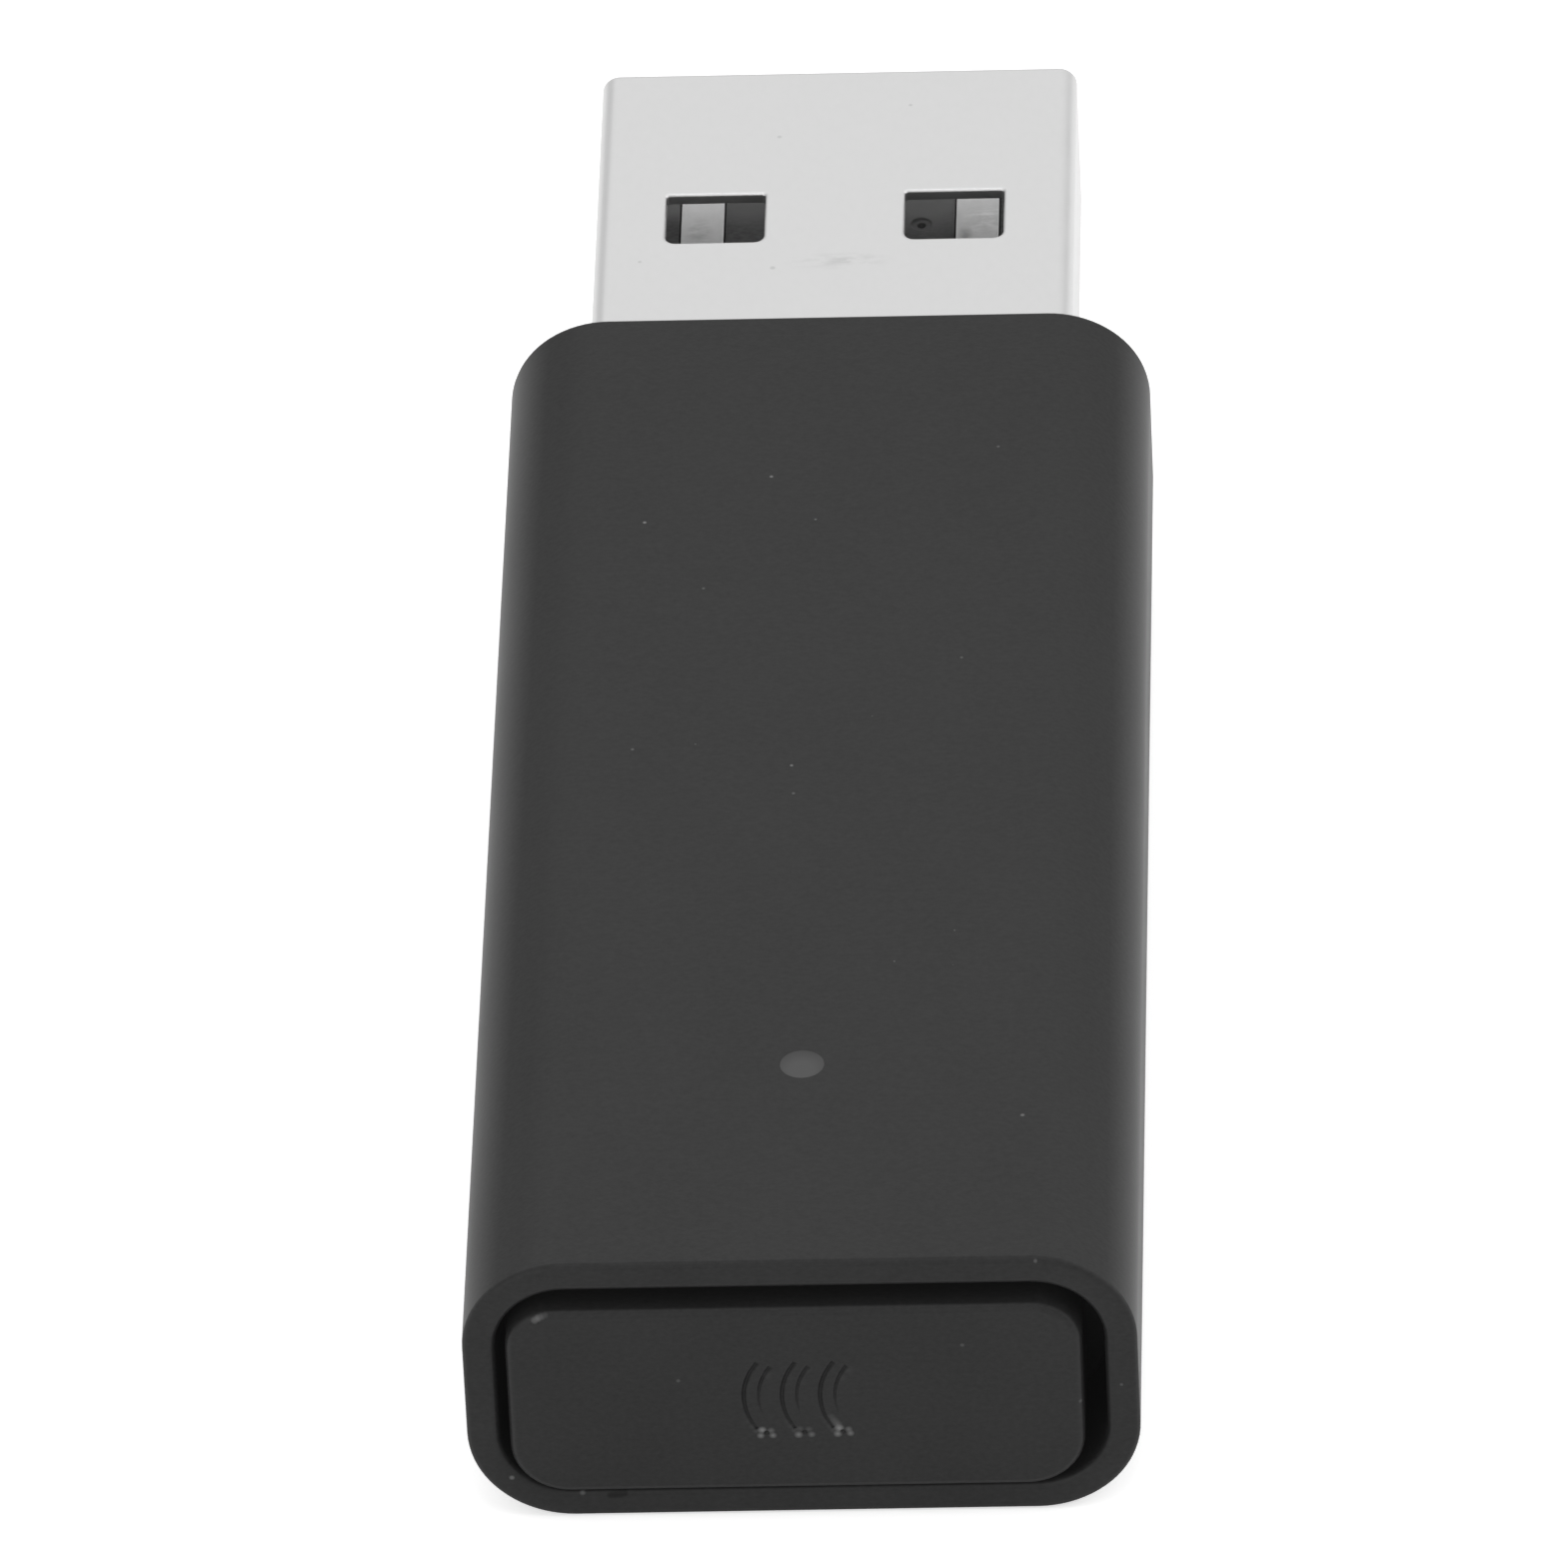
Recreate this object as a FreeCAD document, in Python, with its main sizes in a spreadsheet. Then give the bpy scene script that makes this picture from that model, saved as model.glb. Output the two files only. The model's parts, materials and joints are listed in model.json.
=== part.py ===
import FreeCAD, Part

import math
import os

import Sketcher

# Wireless adapter with a USB-A plug at one end and a pairing button at the other.
# +X runs across the width, +Y from the button to the plug's tip and +Z up through the light window.
# The origin is the bottom centre of the whole adapter.

SHEET = "Sizes"

# Driving sizes in millimetres: the name in the sheet, the value and what it measures
DRIVING = (
    ("shoulder_side", 1.95, "sleeve beside the plug"),
    ("shoulder_above", 1.55, "sleeve above the plug, and below it"),
    ("body_length", 38.03, "sleeve from rim to plug end"),
    ("body_corner", 2.5, "outer corner radius of the sleeve's section"),
    ("wall", 0.78, "sleeve wall"),
    ("end_wall", 1.2, "wall that the plug passes through"),
    ("rim_round", 0.15, "rounding of the rim's outer edge"),
    ("mouth_round", 0.18, "rounding of the rim's inner edge"),
    ("tail_round", 0.25, "rounding of the outer edge at the plug end"),
    ("rail_reach", 0.6, "how far a board rail stands out of the side wall"),
    ("rail_height", 0.6, "height of one rail"),
    ("plug_width", 12.1, "plug shell from side to side"),
    ("plug_height", 4.5, "plug shell from bottom to top"),
    ("plug_reach", 12.67, "plug outside the sleeve"),
    ("plug_inside", 5.5, "plug shell inside the sleeve's end face"),
    ("plug_corner", 0.45, "outer corner radius of the folded shell"),
    ("plug_sheet", 0.3, "sheet that the shell is folded from"),
    ("plug_lip", 0.2, "rounding of the shell's mouth"),
    ("plug_slip", 0.1, "clearance of the shell in the sleeve's end wall"),
    ("window_inset", 3.03, "plug window's centre from the plug's side"),
    ("window_width", 2.5, "plug window across"),
    ("window_length", 2.06, "plug window along"),
    ("window_front", 5.32, "plug window's front edge from the tip"),
    ("window_corner", 0.3, "radius of the window's corners nearer the sleeve"),
    ("window_sharp", 0.1, "radius of the window's corners nearer the tip"),
    ("seam_gap", 0.08, "slit where the shell's edges meet"),
    ("seam_neck", 0.9, "narrow half width of the seam's dovetail"),
    ("seam_head", 1.3, "wide half width of the seam's dovetail"),
    ("seam_land", 0.57, "sheet left between the dovetail and a window"),
    ("lug_reach", 0.8, "shell lug out onto the board"),
    ("lug_length", 1.6, "shell lug along the board"),
    ("socket_depth", 9.2, "open depth of the plug from its tip"),
    ("tongue_setback", 0.4, "tongue behind the plug's tip"),
    ("tongue_drop", 0.05, "tongue's top below the plug's middle"),
    ("tongue_lead", 0.25, "chamfer round the tongue's front"),
    ("mark_dish", 0.26, "radius of the moulding gate's dish in the tongue"),
    ("dish_depth", 0.05, "depth of that dish"),
    ("mark_core", 0.11, "radius of the gate's mark inside the dish"),
    ("core_depth", 0.3, "depth of that mark below the tongue's top"),
    ("mark_across", 2.07, "gate from the middle"),
    ("mark_setback", 3.59, "gate from the plug's tip"),
    ("contact_width", 1.1, "contact across"),
    ("contact_sheet", 0.25, "sheet that a contact is stamped from"),
    ("contact_inset", 2.55, "outer contact's centre from the plug's side"),
    ("contact_inner", 1.0, "inner contact's centre from the middle"),
    ("contact_lead", 1.1, "outer contact's end from the tip"),
    ("contact_lag", 1.0, "inner contact's end behind the outer one's"),
    ("contact_slip", 0.03, "clearance of a contact in its groove"),
    ("contact_foot", 1.2, "contact's soldered foot on the board"),
    ("contact_bend", 0.3, "sloping stretch of a contact between its levels"),
    ("mould_slip", 0.02, "clearance of a moulded piece in its seat"),
    ("button_proud", 0.2, "button's face outside the rim"),
    ("button_depth", 2.6, "back edge of the button's skirt inside the rim"),
    ("button_plate", 1.0, "thickness of the button's face"),
    ("button_skirt", 0.7, "thickness of the button's skirt"),
    ("button_corner", 1.15, "radius of the button's upper corners"),
    ("button_foot", 1.4, "radius of the button's lower corners"),
    ("button_round", 0.2, "rounding of the button's front edge"),
    ("gap_left", 0.25, "sleeve to button, left"),
    ("gap_right", 0.54, "sleeve to button, right"),
    ("gap_above", 0.48, "sleeve to button, above"),
    ("gap_below", 0.1, "sleeve to button, below"),
    ("travel", 0.3, "how far the button presses in"),
    ("leg_inset", 1.0, "snap leg in from the button's side"),
    ("leg_width", 1.0, "snap leg across"),
    ("leg_height", 2.0, "snap leg from bottom to top"),
    ("leg_slip", 0.15, "clearance of a leg in its slot"),
    ("hook_reach", 0.4, "hook out from its leg"),
    ("hook_length", 0.7, "hook along its leg"),
    ("hook_play", 0.05, "hook from the frame at rest"),
    ("post_width", 2.0, "push post across"),
    ("post_height", 0.8, "push post from bottom to top"),
    ("skirt_play", 0.4, "button's skirt from the end frame when pressed"),
    ("frame_plate", 1.0, "thickness of the end frame"),
    ("frame_slip", 0.04, "clearance of the end frame in the sleeve"),
    ("stop_across", 3.0, "board stop from the middle"),
    ("stop_width", 1.0, "board stop across"),
    ("hook_room", 0.75, "board's edge behind the hooks when pressed"),
    ("board_thick", 0.8, "board's thickness"),
    ("board_drop", 0.4, "board's top below the middle"),
    ("board_side", 0.1, "clearance beside the board"),
    ("board_play", 0.05, "clearance above, before and behind the board"),
    ("lamp_station", 7.6, "light window's centre inside the rim"),
    ("lamp_length", 1.6, "lamp along"),
    ("lamp_width", 0.8, "lamp across"),
    ("lamp_height", 0.6, "lamp's height"),
    ("pipe_radius", 0.53, "radius of the light window"),
    ("pipe_slip", 0.02, "clearance round the light pipe"),
    ("pipe_flange", 0.5, "flange of the light pipe beyond its rod"),
    ("pipe_flange_thick", 0.4, "thickness of that flange"),
    ("pipe_gap", 0.1, "light pipe above its lamp"),
    ("antenna_start", 0.8, "antenna's end from the board's edge"),
    ("antenna_length", 5.2, "antenna along"),
    ("antenna_height", 1.6, "antenna's height"),
    ("antenna_strip", 0.4, "width of the antenna's strips"),
    ("antenna_sheet", 0.3, "sheet of the antenna"),
    ("antenna_inset", 1.2, "antenna in from the board's side"),
    ("antenna_feed", 1.2, "antenna's feed leg from its ground leg"),
    ("shield_start", 7.4, "shield from the board's edge"),
    ("shield_tail", 6.2, "room behind the shield on the board"),
    ("shield_margin", 1.0, "board beside the shield"),
    ("shield_height", 1.2, "height of the shield's fence"),
    ("shield_sheet", 0.2, "sheet of the fence"),
    ("shield_lip", 0.6, "lip of the fence"),
    ("cover_sheet", 0.15, "sheet of the shield's cover"),
    ("cover_skirt", 0.8, "depth of the cover's skirt"),
    ("cover_slip", 0.02, "clearance of the cover round its fence"),
    ("radio_side", 5.0, "radio chip's side"),
    ("radio_height", 0.75, "radio chip's height"),
    ("memory_width", 2.0, "memory chip across"),
    ("memory_length", 3.0, "memory chip along"),
    ("memory_height", 0.6, "memory chip's height"),
    ("crystal_width", 1.6, "crystal can across"),
    ("crystal_length", 2.0, "crystal can along"),
    ("crystal_height", 0.5, "crystal can's height"),
    ("chip_edge", 0.1, "chamfer of a chip's top edge"),
    ("chip_gap", 0.2, "chip from the fence beside it"),
    ("power_setback", 3.4, "power parts' middle from the board's notch"),
    ("power_across", 3.6, "power parts from the middle"),
    ("regulator_side", 2.0, "voltage regulator's side"),
    ("regulator_height", 0.75, "voltage regulator's height"),
    ("inductor_length", 2.0, "inductor along"),
    ("inductor_width", 2.5, "inductor across"),
    ("inductor_height", 1.2, "inductor's height"),
    ("surge_side", 1.4, "surge protector's side"),
    ("surge_height", 0.6, "surge protector's height"),
    ("small_length", 1.0, "small chip part's length"),
    ("small_width", 0.5, "small chip part's width"),
    ("small_height", 0.5, "small capacitor's height"),
    ("small_pitch", 1.5, "small parts from one to the next"),
    ("resistor_height", 0.35, "small resistor's height"),
    ("capacitor_row", 5.3, "capacitors' row from the board's notch"),
    ("resistor_row", 5.0, "resistors' row from the board's edge"),
    ("switch_width", 4.2, "switch body across"),
    ("switch_length", 2.8, "switch body along"),
    ("switch_height", 1.2, "switch body's height"),
    ("switch_setback", 0.1, "switch body behind the board's edge"),
    ("switch_floor", 0.3, "switch body's wall against the board"),
    ("switch_sheet", 0.1, "sheet of the switch's cover"),
    ("switch_mouth", 0.5, "wall that the plunger passes through"),
    ("chamber_width", 2.4, "switch chamber across"),
    ("chamber_room", 0.3, "room behind the plunger when pressed"),
    ("plunger_width", 1.3, "plunger's stem across"),
    ("plunger_flange", 2.2, "plunger's flange across"),
    ("plunger_flange_thick", 0.4, "plunger's flange along"),
    ("plunger_reach", 0.6, "plunger out of the switch"),
    ("plunger_height", 0.6, "plunger from bottom to top"),
    ("plunger_slip", 0.06, "clearance of the plunger in its chamber"),
)

CAPACITORS = 7
RESISTORS = 3
NEAR = 1e-6
START = 1
END = 2
CENTRE = 3
ORIGIN = -1


class Size:
    """A length held twice: as a number and as the sheet expression that gives it."""

    def __init__(self, number, words):
        self.number = number
        self.words = words

    def __add__(self, other):
        other = as_size(other)
        return Size(self.number + other.number, f"({self.words} + {other.words})")

    def __sub__(self, other):
        other = as_size(other)
        return Size(self.number - other.number, f"({self.words} - {other.words})")

    def __neg__(self):
        return Size(-self.number, f"(-1 * {self.words})")

    def __mul__(self, factor):
        return Size(self.number * factor, f"({self.words} * {factor})")

    __rmul__ = __mul__

    def __truediv__(self, divisor):
        return Size(self.number / divisor, f"({self.words} / {divisor})")


def as_size(value):
    """A plain number becomes a size with no name."""
    if isinstance(value, Size):
        return value
    return Size(float(value), str(float(value)))


ZERO = as_size(0)


class Sizes:
    """The driving sizes, each an attribute under its own name in the sheet."""

    def __init__(self, document):
        sheet = document.addObject("Spreadsheet::Sheet", SHEET)
        for row, (name, value, note) in enumerate(DRIVING, start=1):
            sheet.set(f"A{row}", note)
            sheet.set(f"B{row}", str(value))
            sheet.setAlias(f"B{row}", name)
        document.recompute()
        for name, _, _ in DRIVING:
            setattr(self, name, Size(float(sheet.get(name)), f"{SHEET}.{name}"))


def bind(thing, path, size):
    """Tie one property of an object to the sheet."""
    thing.setExpression(path, as_size(size).words)


class Piece:
    """One sub-part: a body with a place of its own, built feature by feature."""

    PLANES = {"x": ("YZ_Plane", 1), "y": ("XZ_Plane", -1), "z": ("XY_Plane", 1)}

    def __init__(self, document, label, place):
        self.document = document
        self.body = document.addObject("PartDesign::Body", label)
        self.body.Label = label
        self.body.AllowCompound = True
        for axis, size in zip("xyz", place):
            bind(self.body, f"Placement.Base.{axis}", size)

    def sketch(self, axis, level):
        """An empty sketch across one axis of the piece, at a level along that axis."""
        role, sign = self.PLANES[axis]
        planes = [plane for plane in self.body.Origin.OriginFeatures if plane.Role == role]
        sketch = self.body.newObject("Sketcher::SketchObject", f"{self.body.Label}_sketch")
        sketch.AttachmentSupport = [(planes[0], "")]
        sketch.MapMode = "FlatFace"
        bind(sketch, "AttachmentOffset.Base.z", as_size(level) * sign)
        return sketch

    def feature(self, kind, sketch, axis, length):
        """A pad or a pocket that runs from its sketch along the positive axis."""
        sign = self.PLANES[axis][1]
        feature = self.body.newObject(f"PartDesign::{kind}", f"{self.body.Label}_{kind}")
        feature.Profile = sketch
        feature.Reversed = (sign < 0) == (kind == "Pad")
        bind(feature, "Length", length)
        sketch.Visibility = False
        return feature

    def pad(self, sketch, axis, length):
        """Add the sketch's outline, drawn out along the axis."""
        return self.feature("Pad", sketch, axis, length)

    def pocket(self, sketch, axis, length):
        """Cut the sketch's outline away along the axis."""
        return self.feature("Pocket", sketch, axis, length)

    def dress(self, kind, size_name, size, chosen):
        """Round or chamfer the chosen edges of the piece's last feature."""
        self.document.recompute()
        base = self.body.Tip
        names = [f"Edge{i}" for i, edge in enumerate(base.Shape.Edges, start=1) if chosen(edge)]
        feature = self.body.newObject(f"PartDesign::{kind}", f"{self.body.Label}_{kind}")
        feature.Base = (base, names)
        bind(feature, size_name, size)
        return feature

    def fillet(self, radius, chosen):
        """Round the chosen edges."""
        return self.dress("Fillet", "Radius", radius, chosen)

    def chamfer(self, size, chosen):
        """Bevel the chosen edges."""
        return self.dress("Chamfer", "Size", size, chosen)


def fix(sketch, kind, edge, point, size):
    """Hold one point of a sketch's edge at a bound distance from the sketch's origin."""
    size = as_size(size)
    constraint = Sketcher.Constraint(kind, ORIGIN, START, edge, point, size.number)
    index = sketch.addConstraint(constraint)
    bind(sketch, f"Constraints[{index}]", size)


def vector(across, up):
    """A sketch point from two sizes."""
    return FreeCAD.Vector(as_size(across).number, as_size(up).number, 0)


def polygon(sketch, corners):
    """A closed outline of straight edges, each corner bound in both directions."""
    first = sketch.GeometryCount
    count = len(corners)
    for i, corner in enumerate(corners):
        following = corners[(i + 1) % count]
        sketch.addGeometry(Part.LineSegment(vector(*corner), vector(*following)), False)
    for i in range(count):
        joint = Sketcher.Constraint("Coincident", first + i, END, first + (i + 1) % count, START)
        sketch.addConstraint(joint)
    for i, (across, up) in enumerate(corners):
        fix(sketch, "DistanceX", first + i, START, across)
        fix(sketch, "DistanceY", first + i, START, up)


def rectangle(sketch, left, right, low, high):
    """A rectangle between four bound lines."""
    polygon(sketch, [(left, low), (right, low), (right, high), (left, high)])


def rounded(sketch, left, right, low, high, radius, upper=None):
    """A rectangle between four bound lines, with round corners: the upper two may differ."""
    left, right, low, high, radius = map(as_size, (left, right, low, high, radius))
    upper = radius if upper is None else as_size(upper)
    first = sketch.GeometryCount
    sides = [
        (vector(left + radius, low), vector(right - radius, low)),
        (vector(right, low + radius), vector(right, high - upper)),
        (vector(right - upper, high), vector(left + upper, high)),
        (vector(left, high - upper), vector(left, low + radius)),
    ]
    centres = [
        (vector(right - radius, low + radius), radius),
        (vector(right - upper, high - upper), upper),
        (vector(left + upper, high - upper), upper),
        (vector(left + radius, low + radius), radius),
    ]
    upward = FreeCAD.Vector(0, 0, 1)
    quarter = math.pi / 2
    for i, (side, (centre, turn)) in enumerate(zip(sides, centres)):
        circle = Part.Circle(centre, upward, turn.number)
        sketch.addGeometry(Part.LineSegment(*side), False)
        sketch.addGeometry(Part.ArcOfCircle(circle, (i - 1) * quarter, i * quarter), False)
    edges = 2 * len(sides)
    for i in range(edges):
        joint = Sketcher.Constraint("Tangent", first + i, END, first + (i + 1) % edges, START)
        sketch.addConstraint(joint)
    for i, direction in zip(range(0, edges, 2), ("Horizontal", "Vertical") * 2):
        sketch.addConstraint(Sketcher.Constraint(direction, first + i))
    for arc, twin, size in ((first + 1, first + 7, radius), (first + 3, first + 5, upper)):
        sketch.addConstraint(Sketcher.Constraint("Equal", arc, twin))
        index = sketch.addConstraint(Sketcher.Constraint("Radius", arc, size.number))
        bind(sketch, f"Constraints[{index}]", size)
    fix(sketch, "DistanceY", first, START, low)
    fix(sketch, "DistanceX", first + 2, START, right)
    fix(sketch, "DistanceY", first + 4, START, high)
    fix(sketch, "DistanceX", first + 6, START, left)


def circle(sketch, across, up, radius):
    """A circle with a bound centre and radius."""
    edge = sketch.addGeometry(
        Part.Circle(vector(across, up), FreeCAD.Vector(0, 0, 1), radius.number), False
    )
    fix(sketch, "DistanceX", edge, CENTRE, across)
    fix(sketch, "DistanceY", edge, CENTRE, up)
    index = sketch.addConstraint(Sketcher.Constraint("Radius", edge, radius.number))
    bind(sketch, f"Constraints[{index}]", radius)


def lies_at(axis, level):
    """A test for the edges that lie flat at a level along one axis."""

    def test(edge):
        return all(abs(getattr(vertex, axis) - level.number) < NEAR for vertex in edge.Vertexes)

    return test


def ring(level, half_width, half_height):
    """A test for the edges at a level along Y that belong to one loop round the axis."""
    flat = lies_at("Y", level)

    def test(edge):
        reach = any(
            abs(abs(vertex.X) - half_width.number) < NEAR
            or abs(abs(vertex.Z) - half_height.number) < NEAR
            for vertex in edge.Vertexes
        )
        return flat(edge) and reach

    return test


class Adapter:
    """The whole adapter: its datum planes, then one method for each sub-part."""

    def __init__(self, document):
        self.document = document
        self.s = Sizes(document)
        s = self.s
        total = s.button_proud + s.body_length + s.plug_reach
        self.half_width = s.plug_width / 2 + s.shoulder_side
        self.half_height = s.plug_height / 2 + s.shoulder_above
        middle = self.half_height
        self.rim = (ZERO, s.button_proud - total / 2, middle)
        self.tip = (ZERO, total / 2, middle)
        self.cavity_half = self.half_width - s.wall
        self.ceiling = self.half_height - s.wall
        self.cavity_corner = s.body_corner - s.wall
        self.frame_front = s.button_depth + s.travel + s.skirt_play
        self.frame_back = self.frame_front + s.frame_plate
        self.hook_start = self.frame_back + s.hook_play
        self.hook_end = self.hook_start + s.hook_length
        self.board_start = self.hook_end + s.travel + s.hook_room
        self.board_top = (ZERO, self.rim[1] + self.board_start, middle - s.board_drop)
        self.board_under = (ZERO, self.board_top[1], self.board_top[2] - s.board_thick)
        self.board_half = self.cavity_half - s.board_side
        self.notch = s.body_length - s.plug_inside - s.board_play - self.board_start
        self.board_end = s.body_length - s.end_wall - s.board_play - self.board_start
        self.shell_back = s.plug_reach + s.plug_inside
        self.shield_half = self.board_half - s.shield_margin
        self.shield_end = self.notch - s.shield_tail
        self.button_left = s.gap_left - self.cavity_half
        self.button_right = self.cavity_half - s.gap_right
        self.button_low = s.gap_below - self.ceiling
        self.button_high = self.ceiling - s.gap_above
        self.plunger_low = (s.switch_floor + s.switch_height + s.plunger_height) / -2
        self.plunger_middle = self.plunger_low + s.plunger_height / 2 - s.board_drop - s.board_thick
        self.legs = (
            (self.button_left + s.leg_inset, -1),
            (self.button_right - s.leg_inset, 1),
        )

    def piece(self, label, place):
        """A new sub-part at its place."""
        return Piece(self.document, label, place)

    def block(self, label, place, centre, sides, height):
        """A chip or the like: a block that stands on the board, with a chamfered top edge."""
        s = self.s
        piece = self.piece(label, place)
        sketch = piece.sketch("z", 0)
        rectangle(
            sketch,
            centre[0] - sides[0] / 2,
            centre[0] + sides[0] / 2,
            centre[1] - sides[1] / 2,
            centre[1] + sides[1] / 2,
        )
        piece.pad(sketch, "z", height)
        piece.chamfer(s.chip_edge, lies_at("Z", height))
        return piece

    def housing_sleeve(self):
        """One moulding: a rounded tube, closed at the plug end, with board rails inside."""
        s = self.s
        piece = self.piece("housing_sleeve", self.rim)
        wide = self.half_width
        tall = self.half_height
        outside = piece.sketch("y", 0)
        rounded(outside, -wide, wide, -tall, tall, s.body_corner)
        piece.pad(outside, "y", s.body_length)
        piece.fillet(s.rim_round, lies_at("Y", ZERO))
        piece.fillet(s.tail_round, lies_at("Y", s.body_length))
        inside = piece.sketch("y", 0)
        rounded(
            inside,
            -self.cavity_half,
            self.cavity_half,
            -self.ceiling,
            self.ceiling,
            self.cavity_corner,
        )
        piece.pocket(inside, "y", s.body_length - s.end_wall)
        piece.fillet(s.mouth_round, ring(ZERO, self.cavity_half, self.ceiling))
        rails = piece.sketch("y", self.frame_back)
        face = self.cavity_half - s.rail_reach
        root = self.cavity_half + s.wall / 2
        board_low = -(s.board_drop + s.board_thick)
        above = s.board_play - s.board_drop
        for side in (-1, 1):
            edges = (face, root) if side > 0 else (-root, -face)
            rectangle(rails, *edges, board_low - s.rail_height, board_low)
            rectangle(rails, *edges, above, above + s.rail_height)
        piece.pad(rails, "y", self.board_start + self.notch - self.frame_back)
        opening = piece.sketch("y", s.body_length - s.end_wall * 2)
        wide = s.plug_width / 2 + s.plug_slip
        tall = s.plug_height / 2 + s.plug_slip
        rounded(opening, -wide, wide, -tall, tall, s.plug_corner + s.plug_slip)
        piece.pocket(opening, "y", s.end_wall * 2)
        lamp = piece.sketch("z", 0)
        circle(lamp, ZERO, s.lamp_station, s.pipe_radius)
        piece.pocket(lamp, "z", self.half_height)

    def pairing_button(self):
        """The cap that fills the open end, with a push post and two hooked legs behind it."""
        s = self.s
        piece = self.piece("pairing_button", self.rim)
        back = s.button_plate - s.button_proud
        cap = piece.sketch("y", -s.button_proud)
        outline = (self.button_left, self.button_right, self.button_low, self.button_high)
        rounded(cap, *outline, s.button_foot, s.button_corner)
        piece.pad(cap, "y", s.button_proud + s.button_depth)
        piece.fillet(s.button_round, lies_at("Y", -s.button_proud))
        hollow = piece.sketch("y", back)
        rounded(
            hollow,
            self.button_left + s.button_skirt,
            self.button_right - s.button_skirt,
            self.button_low + s.button_skirt,
            self.button_high - s.button_skirt,
            s.button_corner - s.button_skirt,
        )
        piece.pocket(hollow, "y", s.button_depth - back)
        legs = piece.sketch("y", back / 2)
        hooks = piece.sketch("y", self.hook_start)
        for outer, side in self.legs:
            inner = outer - s.leg_width * side
            edges = (inner, outer) if side > 0 else (outer, inner)
            reach = outer + s.hook_reach * side
            hook = (inner, reach) if side > 0 else (reach, inner)
            rectangle(legs, *edges, -s.leg_height / 2, s.leg_height / 2)
            rectangle(hooks, *hook, -s.leg_height / 2, s.leg_height / 2)
        piece.pad(legs, "y", self.hook_end - back / 2)
        piece.pad(hooks, "y", s.hook_length)
        post = piece.sketch("y", back / 2)
        low = self.plunger_middle - s.post_height / 2
        rectangle(post, -s.post_width / 2, s.post_width / 2, low, low + s.post_height)
        tip = self.board_start + s.switch_setback - s.plunger_reach
        piece.pad(post, "y", tip - back / 2)

    def end_frame(self):
        """The bulkhead behind the button, with slots for its legs and stops for the board."""
        s = self.s
        piece = self.piece("end_frame", self.rim)
        wide = self.cavity_half - s.frame_slip
        tall = self.ceiling - s.frame_slip
        plate = piece.sketch("y", self.frame_front)
        rounded(plate, -wide, wide, -tall, tall, self.cavity_corner)
        piece.pad(plate, "y", s.frame_plate)
        openings = piece.sketch("y", self.frame_front)
        tall = s.leg_height / 2 + s.leg_slip
        for outer, side in self.legs:
            inner = outer - (s.leg_width + s.leg_slip) * side
            beyond = outer + s.leg_slip * side
            edges = (inner, beyond) if side > 0 else (beyond, inner)
            rectangle(openings, *edges, -tall, tall)
        across = s.post_width / 2 + s.leg_slip
        up = s.post_height / 2 + s.leg_slip
        rectangle(openings, -across, across, self.plunger_middle - up, self.plunger_middle + up)
        piece.pocket(openings, "y", s.frame_plate)
        stops = piece.sketch("y", self.frame_back - s.frame_plate / 2)
        for side in (-1, 1):
            centre = s.stop_across * side
            low = -(s.board_drop + s.board_thick)
            left = centre - s.stop_width / 2
            rectangle(stops, left, left + s.stop_width, low, -s.board_drop)
        reach = self.board_start - s.board_play - self.frame_back + s.frame_plate / 2
        piece.pad(stops, "y", reach)

    def light_pipe(self):
        """A turned window flush with the top face, with a flange inside and a rod to the lamp."""
        s = self.s
        place = (ZERO, self.rim[1] + s.lamp_station, self.rim[2])
        piece = self.piece("light_pipe", place)
        foot = s.lamp_height + s.pipe_gap - s.board_drop
        radius = s.pipe_radius - s.pipe_slip
        rod = piece.sketch("z", foot)
        circle(rod, ZERO, ZERO, radius)
        piece.pad(rod, "z", self.half_height - foot)
        flange = piece.sketch("z", self.ceiling - s.pipe_flange_thick)
        circle(flange, ZERO, ZERO, radius + s.pipe_flange)
        piece.pad(flange, "z", s.pipe_flange_thick)

    def plug_shell(self):
        """Sheet folded to a flat tube, with four windows, a dovetailed seam and two lugs."""
        s = self.s
        piece = self.piece("plug_shell", self.tip)
        wide = s.plug_width / 2
        tall = s.plug_height / 2
        outside = piece.sketch("y", -self.shell_back)
        rounded(outside, -wide, wide, -tall, tall, s.plug_corner)
        piece.pad(outside, "y", self.shell_back)
        piece.fillet(s.plug_lip, lies_at("Y", ZERO))
        lugs = piece.sketch("z", -s.board_drop)
        for side in (-1, 1):
            root = (wide - s.plug_sheet / 2) * side
            reach = (wide + s.lug_reach) * side
            edges = (root, reach) if side > 0 else (reach, root)
            rectangle(lugs, *edges, -self.shell_back, s.lug_length - self.shell_back)
        piece.pad(lugs, "z", s.plug_sheet)
        inside = piece.sketch("y", -self.shell_back)
        rounded(
            inside,
            s.plug_sheet - wide,
            wide - s.plug_sheet,
            s.plug_sheet - tall,
            tall - s.plug_sheet,
            s.plug_corner - s.plug_sheet,
        )
        piece.pocket(inside, "y", self.shell_back)
        windows = piece.sketch("z", -tall)
        for side in (-1, 1):
            left = (wide - s.window_inset) * side - s.window_width / 2
            rounded(
                windows,
                left,
                left + s.window_width,
                -(s.window_front + s.window_length),
                -s.window_front,
                s.window_corner,
                s.window_sharp,
            )
        piece.pocket(windows, "z", s.plug_height)
        seam = piece.sketch("z", -tall)
        polygon(seam, self.seam_outline())
        piece.pocket(seam, "z", s.plug_sheet)

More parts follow.
